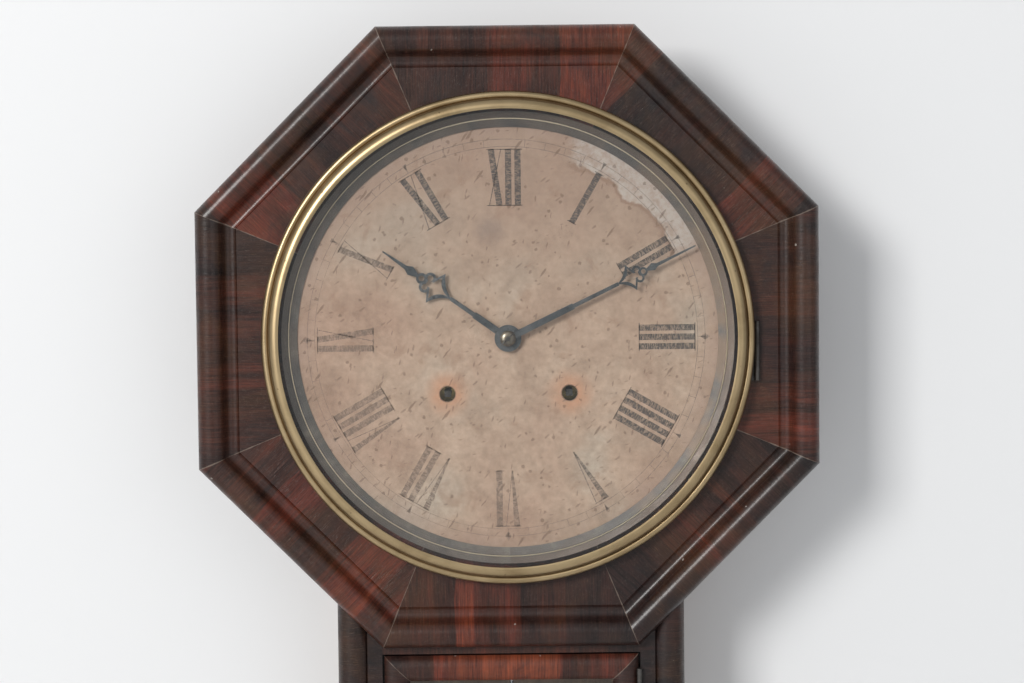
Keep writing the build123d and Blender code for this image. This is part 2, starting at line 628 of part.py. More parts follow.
def escape_wheel():
    """Escape wheel with slender pointed teeth, its pinion and arbor."""
    pitch = 360.0 / ESCAPE_TEETH
    root = ESCAPE_RADIUS - 2.6
    shape = ((root, -0.17), (ESCAPE_RADIUS, -0.05), (ESCAPE_RADIUS, 0.03), (root, 0.2))
    outline = [polar(r, 90 + (index + share) * pitch) for index in range(ESCAPE_TEETH) for r, share in shape]
    windows = Circle(ESCAPE_RADIUS - 4.2) - Circle(3.5)
    for index in range(4):
        windows -= Rot(0, 0, index * 90 + 45) * Pos(ESCAPE_RADIUS / 2, 0) * Rectangle(ESCAPE_RADIUS, 1.8)
    gear = slab(closed_face(outline) - windows, *ESCAPE_LAYER)
    phase = meshed(THIRD_PLACE, ESCAPE_PLACE, ESCAPE_LEAVES)
    gear += pinion(ESCAPE_LEAVES, THIRD_MODULE, *ESCAPE_PINION_LAYER, phase)
    return Pos(0, 0, ESCAPE_PLACE[1]) * gear + arbor(ESCAPE_PLACE)


def pallets():
    """Anchor pallets on their arbor, with the crutch behind the back plate.

    The nibs stand clear of the escape wheel through the whole swing."""
    tip_reach = ESCAPE_RADIUS + NIB_CLEARANCE
    tip = (tip_reach * math.sin(math.radians(PALLET_HALF_ANGLE)),
           tip_reach * math.cos(math.radians(PALLET_HALF_ANGLE)) - PALLET_PLACE[1] + ESCAPE_PLACE[1])
    under = [(0, -1.9), (3.2, -2.0), (7.9, -2.5), (9.2, -3.4)]
    over = [(11.0, -2.9), (10.2, -1.2), (4.4, 1.2), (2.6, 2.8), (0, 3.0)]
    right = under + [tip] + over
    anchor = slab(closed_face(right + [mirrored(corner) for corner in reversed(right[1:-1])]), *ESCAPE_LAYER)
    foot_z = CRUTCH_FOOT - PALLET_PLACE[1]
    arm = closed_face([(-1, 0), (1, 0), (0.8, foot_z), (-0.8, foot_z)])
    crutch = slab(arm + Circle(2.4) + Pos(0, foot_z) * Rectangle(5.2, 4.4), *CRUTCH_LAYER)
    for side in (-1, 1):
        crutch += slab(Pos(side * 2.1, foot_z) * Rectangle(1.0, 3.0), 24.6, 30.5)
    axle = rod(1.2, BACK_PLATE + PLATE + 0.2, FRONT_PLATE - 0.2)
    axle += rod(PIVOT, CRUTCH_LAYER[0], FRONT_PLATE + PLATE + 0.4)
    return Pos(PALLET_PLACE[0], 0, PALLET_PLACE[1]) * (anchor + crutch + axle)


def pendulum_rod():
    """Suspension spring, ferrule, wire rod and the rating nut under the bob."""
    bob_z = -PENDULUM_LENGTH
    spring = slab(closed_face([(-2.5, -18), (2.5, -18), (2.5, 2), (-2.5, 2)]), PENDULUM_DEPTH - 0.15,
                  PENDULUM_DEPTH + 0.15)
    ferrule = slab(closed_face([(-3.2, -22), (3.2, -22), (3.2, -16), (-3.2, -16)]), PENDULUM_DEPTH - 1.2,
                   PENDULUM_DEPTH + 1.2)
    wire_top, wire_below_bob = -20, 32
    wire = Pos(0, -PENDULUM_DEPTH, bob_z - wire_below_bob) * Cylinder(
        1.1, wire_top - bob_z + wire_below_bob, align=(Align.CENTER, Align.CENTER, Align.MIN))
    nut = Pos(0, -PENDULUM_DEPTH, bob_z - BOB_RADIUS - 5) * Cylinder(
        4, 4, align=(Align.CENTER, Align.CENTER, Align.MIN))
    return Pos(0, 0, PALLET_PLACE[1]) * (spring + ferrule + wire + nut)


def pendulum_bob():
    """Lens-shaped brass bob on the rod."""
    half, rim = BOB_THICKNESS / 2, 0.8
    front = [(BOB_RADIUS * share, half - (half - rim) * share ** 2) for share in (0, 0.35, 0.62, 0.84, 1)]
    outline = [(r, PENDULUM_DEPTH + d) for r, d in front] + [(r, PENDULUM_DEPTH - d) for r, d in reversed(front)]
    bob = turned(outline, 0, PALLET_PLACE[1] - PENDULUM_LENGTH)
    hole = Pos(0, -PENDULUM_DEPTH, PALLET_PLACE[1] - PENDULUM_LENGTH) * Cylinder(1.15, 3 * BOB_RADIUS)
    return bob - hole


def pillar_places():
    """Where the four pillars stand."""
    return [(side * PILLAR_X, height) for height in (PILLAR_HIGH, PILLAR_LOW) for side in (-1, 1)]


def pivot_holes():
    """Pivot holes in both plates: (x, z, radius)."""
    places = [SECOND_PLACE, THIRD_PLACE, ESCAPE_PLACE, PALLET_PLACE, (HAMMER_X, HAMMER_Z)]
    holes = [(x, z, PIVOT + RUNNING) for x, z in places]
    return holes + [(0.0, 0.0, CENTRE_ARBOR + RUNNING)]


def plate(back, winding_radius):
    """Movement plate with its pivot holes, pillar holes and cut-outs."""
    face = RectangleRounded(2 * PLATE_HALF_WIDTH, PLATE_TOP - PLATE_BOTTOM, 8)
    face = Pos(0, (PLATE_TOP + PLATE_BOTTOM) / 2) * face
    face -= Pos(0, -60) * RectangleRounded(22, 30, 5)
    for side in (-1, 1):
        face -= Pos(side * WINDING_X, WINDING_Z) * Circle(winding_radius + RUNNING)
        face -= Pos(side * 46, 14) * RectangleRounded(14, 44, 5)
    for x, z, radius in pivot_holes():
        face -= Pos(x, z) * Circle(radius)
    for x, z in pillar_places():
        face -= Pos(x, z) * Circle(2.3)
    return slab(face, back, back + PLATE)


def back_plate():
    """Back plate with the riveted cock that carries the suspension."""
    x, z = PALLET_PLACE
    cock = slab(Pos(0, z + 3) * Rectangle(30, 12), 22, 24)
    for side in (-1, 1):
        cock += slab(Pos(side * 13.5, z + 3) * Rectangle(3, 12), 22, BACK_PLATE)
    clamp = slab(Pos(0, z + 4.6) * Rectangle(9, 8), 24, 28.4)
    clamp -= slab(Pos(0, z + 1.2) * Rectangle(6, 4), PENDULUM_DEPTH - 0.4, PENDULUM_DEPTH + 0.4)
    return plate(BACK_PLATE, WINDING_BACK_PIVOT) + cock + clamp


def front_plate():
    """Front plate with the stud that carries the minute wheel."""
    stud = rod(MINUTE_STUD, FRONT_PLATE + PLATE, 76, *MINUTE_PLACE)
    return plate(FRONT_PLATE, WINDING_FRONT_PIVOT) + stud


def plate_pillars():
    """Turned pillars that space the plates and stand them off the backboard, with their nuts."""
    shape = [(0, BACK_THICKNESS), (5, BACK_THICKNESS), (5, 11), (3.4, 12), (3.4, BACK_PLATE), (2.2, BACK_PLATE),
             (2.2, BACK_PLATE + PLATE), (3.4, BACK_PLATE + PLATE), (3.4, FRONT_PLATE), (2.2, FRONT_PLATE),
             (2.2, FRONT_PLATE + PLATE), (3.8, FRONT_PLATE + PLATE), (3.8, 66), (0, 66)]
    return Part() + [turned(shape, x, z) for x, z in pillar_places()]


def centre_arbor():
    """Arbor of the hands, with the cannon pinion and its pipe."""
    phase = bearing((0, 0), MINUTE_PLACE)
    body = rod(CENTRE_ARBOR, BACK_PLATE - 0.4, 67) + rod(1.5, 90, 99.6)
    body += rod(CANNON_PIPE, 66.2, MINUTE_HAND_BACK)
    body += pinion(CANNON_LEAVES, CANNON_MODULE, *CANNON_LAYER, phase)
    return body - pin_hole()


def pin_hole():
    """Cross hole for the taper pin."""
    return pin_place() * Cylinder(0.55, 8)


def pin_place():
    """Where the taper pin lies, sloping up to the right."""
    return Pos(0, -PIN_DEPTH, 0) * Rot(0, 45, 0)


def hand_pin():
    """Taper pin through the arbor, in front of the collet."""
    return pin_place() * Cone(0.5, 0.36, 13)


def hand_collet():
    """Domed brass washer over the minute hand."""
    base = MINUTE_HAND_BACK + HAND_THICKNESS
    line = Polyline((1.55, -base), (5.4, -base))
    line += ThreePointArc((5.4, -base), (4.3, -base - 1.1), (1.55, -base - 1.75))
    line += Line((1.55, -base - 1.75), (1.55, -base))
    return turned_outline(line)


def minute_wheel():
    """Minute wheel and pinion, on the front plate's stud."""
    phase = meshed((0, 0), MINUTE_PLACE, MINUTE_TEETH)
    gear = wheel(MINUTE_TEETH, CANNON_MODULE, *MINUTE_WHEEL_LAYER, 0.5, phase, 4.5)
    gear += pinion(MINUTE_LEAVES, HOUR_MODULE, *MINUTE_PINION_LAYER, bearing(MINUTE_PLACE, (0, 0)))
    return Pos(MINUTE_PLACE[0], 0, MINUTE_PLACE[1]) * (gear - rod(MINUTE_STUD + RUNNING, 60, 80))


def hour_wheel():
    """Hour wheel on the pipe that carries the hour hand."""
    phase = meshed(MINUTE_PLACE, (0, 0), HOUR_TEETH)
    gear = wheel(HOUR_TEETH, HOUR_MODULE, *HOUR_WHEEL_LAYER, 0.5, phase, 5.5)
    gear += rod(HOUR_PIPE, HOUR_WHEEL_LAYER[0], HOUR_HAND_BACK + HAND_THICKNESS + 0.4)
    return gear - rod(CANNON_PIPE + RUNNING, 60, 100)


def gong():
    """Coiled strike gong, with the hub that stands it off the backboard."""
    coil = slab(spiral_strip(13.0, 7.0, 7, 2.2), *GONG_LAYER)
    tongue = slab(closed_face([(5, -1.4), (16, -1.4), (16, 0.6), (5, 0.6)]), *GONG_LAYER)
    hub = turned([(0, BACK_THICKNESS), (11, BACK_THICKNESS), (11, 10), (6, 12), (6, 18), (0, 18)])
    mirror_tongue = mirror(tongue, Plane.YZ)
    return Pos(0, 0, GONG_Z) * (coil + hub + mirror_tongue)


def hammer():
    """Strike hammer: its arbor, the long wire and the head beside the gong."""
    head_x, head_z, head_depth = -49.5, GONG_Z, 15.0
    top = Vector(HAMMER_X, -31.0, HAMMER_Z)
    foot = Vector(head_x, -head_depth, head_z)
    wire = Plane(origin=top, z_dir=foot - top) * Cylinder(
        1.0, (foot - top).length, align=(Align.CENTER, Align.CENTER, Align.MIN))
    head = Pos(head_x, -head_depth, head_z) * Rot(0, 90, 0) * Cylinder(4.5, 14)
    tail = slab(closed_face([(-1.5, -1), (-15, -5), (-15, -3), (-1.5, 2.2)]), 48, 49.2)
    axle = rod(1.3, BACK_PLATE + PLATE + 0.2, FRONT_PLATE - 0.2) + rod(PIVOT, 29, FRONT_PLATE + PLATE + 0.3)
    boss = rod(2.6, 47, 50) + rod(2.6, 29.4, 32.6)
    return Pos(HAMMER_X, 0, HAMMER_Z) * (axle + boss + tail) + wire + head


def build():
    """Every node of the clock, by name."""
    sides, ends = box_boards()
    nodes = {"backboard": backboard(), "hanger_plate": hanger_plate(), "hanger_screws": hanger_screws(),
             "box_sides": sides, "box_end_boards": ends}
    nodes.update(head_segments())
    nodes.update(trunk_mouldings())
    nodes.update(door_rails())
    nodes["door_stile_left"] -= door_pull()
    nodes.update(door_glass=door_glass(), door_pull=door_pull(), door_hinge_leaves=door_hinges(True),
                 frame_hinge_leaves=door_hinges(False))
    nodes.update(bezel_ring=bezel_ring(), bezel_glass=bezel_glass(), bezel_hinge_leaf=bezel_hinge(True),
                 head_hinge_leaf=bezel_hinge(False))
    nodes.update(dial_pan=dial_disc(DIAL_PAN_RADIUS, HEAD_FLAT_FRONT, DIAL_PAN_FRONT),
                 dial_paper=dial_disc(DIAL_PAPER_RADIUS, DIAL_PAN_FRONT, DIAL_FRONT), sight_ring=sight_ring())
    minute_angle = 6.0 * MINUTE_SHOWN
    hour_angle = 30.0 * HOUR_SHOWN + 0.5 * MINUTE_SHOWN
    nodes.update(
        hour_hand=set_to(hand(HOUR_LENGTH, 47.6, 1.0, 2.45, 9.3, 3.42, HOUR_HAND_BACK), hour_angle),
        minute_hand=set_to(hand(MINUTE_LENGTH, 84.2, 0.8, 2.3, 4.9, 1.52, MINUTE_HAND_BACK), minute_angle),
        hand_collet=hand_collet(), hand_pin=hand_pin(), centre_arbor=centre_arbor(),
        minute_wheel=minute_wheel(), hour_wheel=hour_wheel())
    nodes.update(front_plate=front_plate(), back_plate=back_plate(), plate_pillars=plate_pillars(),
                 time_great_wheel=great_wheel(1), strike_great_wheel=great_wheel(-1),
                 time_winding_arbor=winding_arbor(1), strike_winding_arbor=winding_arbor(-1),
                 mainsprings=mainsprings(), second_wheel=second_wheel(), centre_wheel=centre_wheel(),
                 third_wheel=third_wheel(), escape_wheel=escape_wheel(), pallets=pallets(),
                 pendulum_rod=pendulum_rod(), pendulum_bob=pendulum_bob(), gong=gong(), hammer=hammer())
    return nodes


def main():
    """Write one file for each node, with the hanger's hole at the origin."""
    os.makedirs("parts", exist_ok=True)
    for name, shape in build().items():
        export_step(Pos(0, 0, -HANGER_HOLE_HEIGHT) * shape, os.path.join("parts", name + ".step"))


main()
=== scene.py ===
import logging
import math
from dataclasses import dataclass, field
from enum import Enum
from typing import Callable, Iterable, Optional, Sequence

import bmesh
import bpy
from mathutils import Matrix, Vector


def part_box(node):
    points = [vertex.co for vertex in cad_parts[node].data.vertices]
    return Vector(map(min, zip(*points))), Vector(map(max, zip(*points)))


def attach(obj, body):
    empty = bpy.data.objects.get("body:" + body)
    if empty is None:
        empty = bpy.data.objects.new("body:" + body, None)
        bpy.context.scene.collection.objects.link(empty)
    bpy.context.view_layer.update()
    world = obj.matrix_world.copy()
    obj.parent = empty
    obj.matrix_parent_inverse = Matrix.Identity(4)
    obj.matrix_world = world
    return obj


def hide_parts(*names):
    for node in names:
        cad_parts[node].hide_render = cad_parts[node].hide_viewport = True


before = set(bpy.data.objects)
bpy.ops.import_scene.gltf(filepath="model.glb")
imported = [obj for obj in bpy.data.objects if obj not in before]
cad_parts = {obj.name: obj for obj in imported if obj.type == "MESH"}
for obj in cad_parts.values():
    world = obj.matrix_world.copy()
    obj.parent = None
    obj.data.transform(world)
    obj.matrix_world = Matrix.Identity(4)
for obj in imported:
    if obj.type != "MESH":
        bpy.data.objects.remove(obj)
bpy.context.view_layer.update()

# An octagonal drop-case wall clock. The wall is the plane Y = 0, the dial faces -Y and +Z is up.
# Lengths are metres. Angles on the dial run clockwise from twelve, as seen from the front.

MM = 0.001
DIAL_HEIGHT = -0.176
OCTAGON_SIDES = 8
LOG = logging.getLogger("wall_clock")

Colour = tuple[float, float, float]
Point = tuple[float, float, float]


class Stroke(Enum):
    """Strokes that a Roman numeral is made of."""

    UPRIGHT = "I"
    WEDGE = "V"
    CROSS = "X"


class Graph:
    """A node tree, with short ways to add and link its nodes."""

    def __init__(self, tree: bpy.types.NodeTree) -> None:
        """Wrap a tree.

        Args:
            tree: The shader or geometry tree that nodes go into.
        """
        self.tree = tree

    def add(self, kind: str, **settings: object) -> bpy.types.Node:
        """Add a node and set its properties.

        Args:
            kind: The node's type name.
            settings: Properties of the node and their values.

        Returns:
            The new node.
        """
        node = self.tree.nodes.new(kind)
        for name, value in settings.items():
            setattr(node, name, value)
        return node

    def wired(self, kind: str, feeds: dict[object, object], **settings: object) -> bpy.types.Node:
        """Add a node and feed its inputs.

        Args:
            kind: The node's type name.
            feeds: Name or number of each input, and what feeds it.
            settings: Properties of the node and their values.

        Returns:
            The new node.
        """
        node = self.add(kind, **settings)
        for name, value in feeds.items():
            self.feed(node.inputs[name], value)
        return node

    def feed(self, socket: bpy.types.NodeSocket, value: object) -> None:
        """Link an output to a socket, or set the socket to a plain value.

        Args:
            socket: The input to feed.
            value: An output to link, a plain value, or None to leave it alone.
        """
        if isinstance(value, bpy.types.NodeSocket):
            self.tree.links.new(value, socket)
        elif value is not None:
            socket.default_value = value

    def math(self, operation: str, *values: object, clamp: bool = False) -> bpy.types.NodeSocket:
        """Scalar sum, product or other operation on up to three values.

        Args:
            operation: The operation's name.
            values: Up to three outputs or numbers.
            clamp: Whether the result is kept from 0 to 1.

        Returns:
            The result.
        """
        node = self.add("ShaderNodeMath", operation=operation, use_clamp=clamp)
        for socket, value in zip(node.inputs, values):
            self.feed(socket, value)
        return node.outputs[0]

    def times(self, first: object, *others: object) -> bpy.types.NodeSocket:
        """Product of the values, from left to right.

        Args:
            first: The first value.
            others: The values that multiply it.

        Returns:
            The product.
        """
        for value in others:
            first = self.math("MULTIPLY", first, value)
        return first

    def plus(self, first: object, second: object) -> bpy.types.NodeSocket:
        """Sum of two values."""
        return self.math("ADD", first, second)

    def minus(self, first: object, second: object) -> bpy.types.NodeSocket:
        """First value less the second."""
        return self.math("SUBTRACT", first, second)

    def vector(self, operation: str, *values: object) -> bpy.types.Node:
        """Vector operation on up to two vectors, as a node.

        Args:
            operation: The operation's name.
            values: One or two outputs or vectors.

        Returns:
            The new node.
        """
        node = self.add("ShaderNodeVectorMath", operation=operation)
        for socket, value in zip(node.inputs, values):
            self.feed(socket, value)
        return node

    def stretched(self, vector: object, scale: Point) -> bpy.types.NodeSocket:
        """The vector with each axis multiplied."""
        return self.vector("MULTIPLY", vector, scale).outputs[0]

    def noise(self, vector: object, scale: float, detail: float = 4.0, roughness: float = 0.55,
              distortion: float = 0.0) -> bpy.types.NodeSocket:
        """Value of a noise texture from 0 to 1.

        Args:
            vector: Place to read the texture at.
            scale: How fine the texture is.
            detail: How many finer layers it has.
            roughness: How strong the finer layers are.
            distortion: How far it is bent.

        Returns:
            The value.
        """
        feeds = {"Vector": vector, "Scale": scale, "Detail": detail, "Roughness": roughness,
                 "Distortion": distortion}
        return self.wired("ShaderNodeTexNoise", feeds).outputs["Fac"]

    def span(self, value: object, low: object, high: object, start: float = 0.0,
             end: float = 1.0) -> bpy.types.NodeSocket:
        """Value moved smoothly from one span to another."""
        feeds = {"Value": value, "From Min": low, "From Max": high, "To Min": start, "To Max": end}
        return self.wired("ShaderNodeMapRange", feeds, interpolation_type="SMOOTHSTEP").outputs["Result"]

    def ramp(self, value: object, stops: Sequence[tuple[float, Colour]],
             interpolation: str = "LINEAR") -> bpy.types.NodeSocket:
        """Colour taken from a ramp of stops.

        Args:
            value: Place along the ramp, from 0 to 1.
            stops: Place and colour of each stop.
            interpolation: How the colour changes between stops.

        Returns:
            The colour.
        """
        node = self.add("ShaderNodeValToRGB")
        node.color_ramp.interpolation = interpolation
        elements = node.color_ramp.elements
        while len(elements) < len(stops):
            elements.new(0.5)
        for element, (place, colour) in zip(elements, stops):
            element.position = place
            element.color = (*colour, 1.0)
        self.feed(node.inputs["Fac"], value)
        return node.outputs["Color"]

    def mix(self, factor: object, first: object, second: object, blend: str = "MIX") -> bpy.types.NodeSocket:
        """Two colours mixed by a factor.

        Args:
            factor: Share of the second colour.
            first: The first colour.
            second: The second colour.
            blend: The blend's name.

        Returns:
            The mixed colour.
        """
        node = self.add("ShaderNodeMix", data_type="RGBA", blend_type=blend)
        self.feed(node.inputs[0], factor)
        for socket, value in ((node.inputs[6], first), (node.inputs[7], second)):
            self.feed(socket, (*value, 1.0) if isinstance(value, tuple) else value)
        return node.outputs[2]

    def shaded(self, colour: object, share: float, value: object,
               stops: Sequence[tuple[float, Colour]]) -> bpy.types.NodeSocket:
        """Colour multiplied, by a share, with a ramp of stops."""
        return self.mix(share, colour, self.ramp(value, stops), "MULTIPLY")

    def tinted(self, colour: object, mask: object, share: float, tint: Colour) -> bpy.types.NodeSocket:
        """Colour that turns to a tint by a share of a mask."""
        return self.mix(self.times(mask, share), colour, tint)

    def parts(self, vector: object) -> tuple[bpy.types.NodeSocket, ...]:
        """X, Y and Z of a vector."""
        return tuple(self.wired("ShaderNodeSeparateXYZ", {0: vector}).outputs)

    def joined(self, x: object, y: object, z: object) -> bpy.types.NodeSocket:
        """Vector of three values."""
        return self.wired("ShaderNodeCombineXYZ", {0: x, 1: y, 2: z}).outputs[0]

    def group(self, tree: bpy.types.NodeTree, **values: object) -> bpy.types.Node:
        """Place a node group with its own values.

        Args:
            tree: The group to place.
            values: What feeds each input, named in lower case with underscores.

        Returns:
            The group's node.
        """
        node = self.add(self.tree.bl_idname.replace("NodeTree", "NodeGroup"), node_tree=tree)
        for name, value in values.items():
            self.feed(node.inputs[name.replace("_", " ").capitalize()], value)
        return node


def shared_group(name: str, inputs: Sequence[tuple[str, str, object]], outputs: Sequence[tuple[str, str]],
                 wire: Callable[[Graph, bpy.types.Node], Sequence[object]]) -> bpy.types.NodeTree:
    """Build a shader node group once, and give it again when it is asked for again.

    Args:
        name: The group's name.
        inputs: Name, socket type and default value of each input.
        outputs: Name and socket type of each output.
        wire: Adds the nodes, and gives what feeds each output.

    Returns:
        The group's tree.
    """
    if name in bpy.data.node_groups:
        return bpy.data.node_groups[name]
    tree = bpy.data.node_groups.new(name, "ShaderNodeTree")
    for label, kind, default in inputs:
        socket = tree.interface.new_socket(label, in_out="INPUT", socket_type=kind)
        if default is not None:
            socket.default_value = default
    for label, kind in outputs:
        tree.interface.new_socket(label, in_out="OUTPUT", socket_type=kind)
    graph = Graph(tree)
    results = wire(graph, graph.add("NodeGroupInput"))
    end = graph.add("NodeGroupOutput")
    for socket, value in zip(end.inputs, results):
        graph.feed(socket, value)
    return tree


VECTOR = "NodeSocketVector"
FLOAT = "NodeSocketFloat"


def band_frame() -> bpy.types.NodeTree:
    """Group that measures a place across a rail, along it and in depth.

    Returns:
        The node group.
    """
    def wire(graph: Graph, start: bpy.types.Node) -> Sequence[object]:
        """Wire the group's nodes.

        Args:
            graph: The graph of the group.
            start: The group's input node.

        Returns:
            What feeds each output, in order.
        """
        moved = graph.vector("SUBTRACT", start.outputs["Vector"], start.outputs["Centre"]).outputs[0]
        across = graph.vector("DOT_PRODUCT", moved, start.outputs["Across"]).outputs["Value"]
        along = graph.vector("DOT_PRODUCT", moved, start.outputs["Along"]).outputs["Value"]
        depth = graph.parts(moved)[1]
        return graph.joined(across, along, depth), across, along

    inputs = [("Vector", VECTOR, None), ("Centre", VECTOR, None), ("Across", VECTOR, None),
              ("Along", VECTOR, None)]
    return shared_group("band_frame", inputs, [("Vector", VECTOR), ("Across", FLOAT), ("Along", FLOAT)], wire)


def veneer_figure() -> bpy.types.NodeTree:
    """Group for veneer laid in pieces: the tone of each piece, its streaks and its open pores.

    Returns:
        The node group.
    """
    def wire(graph: Graph, start: bpy.types.Node) -> Sequence[object]:
        """Wire the group's nodes.

        Args:
            graph: The graph of the group.
            start: The group's input node.

        Returns:
            What feeds each output, in order.
        """
        place = start.outputs["Vector"]
        along = graph.parts(place)[1]
        sway = graph.noise(graph.stretched(place, (22.0, 22.0, 4.0)), 1.0, 2.0)
        shifted = graph.math("MULTIPLY_ADD", sway, 0.006, along)
        cell = graph.add("ShaderNodeTexVoronoi", voronoi_dimensions="1D")
        graph.feed(cell.inputs["W"], graph.plus(shifted, start.outputs["Seed"]))
        graph.feed(cell.inputs["Scale"], start.outputs["Pieces per metre"])
        piece = graph.parts(cell.outputs["Color"])[0]
        offset = graph.joined(start.outputs["Seed"], 0.0, start.outputs["Seed"])
        moved = graph.vector("ADD", place, offset).outputs[0]
        broad = graph.noise(graph.stretched(moved, (9.0, 70.0, 9.0)), 1.0, 5.0, 0.6, 0.4)
        fine = graph.noise(graph.stretched(moved, (45.0, 900.0, 45.0)), 1.0, 3.0, 0.65)
        pores = graph.span(graph.noise(graph.stretched(moved, (150.0, 2100.0, 150.0)), 1.0, 1.0), 0.60, 0.72)
        tone = graph.plus(graph.times(piece, 0.36), graph.times(broad, 0.52))
        streak = graph.plus(graph.times(broad, 0.4), graph.times(fine, 0.6))
        return tone, streak, pores, shifted

    inputs = [("Vector", VECTOR, None), ("Seed", FLOAT, 0.0), ("Pieces per metre", FLOAT, 22.0)]
    outputs = [("Tone", FLOAT), ("Streak", FLOAT), ("Pores", FLOAT), ("Along", FLOAT)]
    return shared_group("veneer_figure", inputs, outputs, wire)


def blotches() -> bpy.types.NodeTree:
    """Group for uneven patches, such as stains and worn polish.

    Returns:
        The node group.
    """
    def wire(graph: Graph, start: bpy.types.Node) -> Sequence[object]:
        """Wire the group's nodes."""
        value = graph.noise(start.outputs["Vector"], start.outputs["Scale"], 5.0, 0.6, 0.6)
        return (graph.span(value, start.outputs["Low"], start.outputs["High"]),)

    inputs = [("Vector", VECTOR, None), ("Scale", FLOAT, 20.0), ("Low", FLOAT, 0.5), ("High", FLOAT, 0.65)]
    return shared_group("blotches", inputs, [("Mask", FLOAT)], wire)


def flecks() -> bpy.types.NodeTree:
    """Group for scattered specks: a share of the cells holds one speck each.

    Returns:
        The node group.
    """
    def wire(graph: Graph, start: bpy.types.Node) -> Sequence[object]:
        """Wire the group's nodes.

        Args:
            graph: The graph of the group.
            start: The group's input node.

        Returns:
            What feeds each output, in order.
        """
        warp = graph.add("ShaderNodeTexNoise")
        graph.feed(warp.inputs["Vector"], start.outputs["Vector"])
        graph.feed(warp.inputs["Scale"], graph.times(start.outputs["Scale"], 3.0))
        bend = graph.vector("SCALE", warp.outputs["Color"])
        graph.feed(bend.inputs["Scale"], graph.math("DIVIDE", 0.35, start.outputs["Scale"]))
        cell = graph.add("ShaderNodeTexVoronoi")
        bent = graph.vector("ADD", start.outputs["Vector"], bend.outputs[0])
        graph.feed(cell.inputs["Vector"], bent.outputs[0])
        graph.feed(cell.inputs["Scale"], start.outputs["Scale"])
        chosen = graph.math("LESS_THAN", graph.parts(cell.outputs["Color"])[1], start.outputs["Share"])
        reach = graph.times(start.outputs["Size"], 1.5)
        spot = graph.span(cell.outputs["Distance"], start.outputs["Size"], reach, 1.0, 0.0)
        return (graph.times(spot, chosen),)

    inputs = [("Vector", VECTOR, None), ("Scale", FLOAT, 200.0), ("Share", FLOAT, 0.2), ("Size", FLOAT, 0.2)]
    return shared_group("flecks", inputs, [("Mask", FLOAT)], wire)


def joint_line() -> bpy.types.NodeTree:
    """Group for the thin line where two mitred ends meet.

    Returns:
        The node group.
    """
    def wire(graph: Graph, start: bpy.types.Node) -> Sequence[object]:
        """Wire the group's nodes.

        Args:
            graph: The graph of the group.
            start: The group's input node.

        Returns:
            What feeds each output, in order.
        """
        moved = graph.vector("SUBTRACT", start.outputs["Vector"], start.outputs["Corner"]).outputs[0]
        reach = graph.vector("DOT_PRODUCT", moved, start.outputs["Outward"]).outputs["Value"]
        waver = graph.noise(start.outputs["Vector"], 90.0, 3.0)
        width = graph.times(graph.span(waver, 0.35, 0.7), start.outputs["Width"])
        edge = graph.times(width, -1.0)
        return (graph.span(reach, graph.minus(edge, 0.0002), edge),)

    inputs = [("Vector", VECTOR, None), ("Corner", VECTOR, None), ("Outward", VECTOR, None),
              ("Width", FLOAT, 0.0005)]
    return shared_group("joint_line", inputs, [("Mask", FLOAT)], wire)


def round_place() -> bpy.types.NodeTree:
    """Group that measures the distance from the dial's centre and the clockwise turn from twelve.

    Returns:
        The node group.
    """
    def wire(graph: Graph, start: bpy.types.Node) -> Sequence[object]:
        """Wire the group's nodes.

        Args:
            graph: The graph of the group.
            start: The group's input node.

        Returns:
            What feeds each output, in order.
        """
        offset = graph.vector("SUBTRACT", start.outputs["Vector"], start.outputs["Centre"])
        x, _, z = graph.parts(offset.outputs[0])
        radius = graph.math("SQRT", graph.plus(graph.times(x, x), graph.times(z, z)))
        return radius, graph.math("ARCTAN2", x, z)

    inputs = [("Vector", VECTOR, None), ("Centre", VECTOR, (0.0, 0.0, DIAL_HEIGHT))]
    return shared_group("round_place", inputs, [("Radius", FLOAT), ("Turn", FLOAT)], wire)


@dataclass(frozen=True)
class Mitre:
    """Plane where a rail's end meets the next rail."""

    corner: Point
    outward: Point


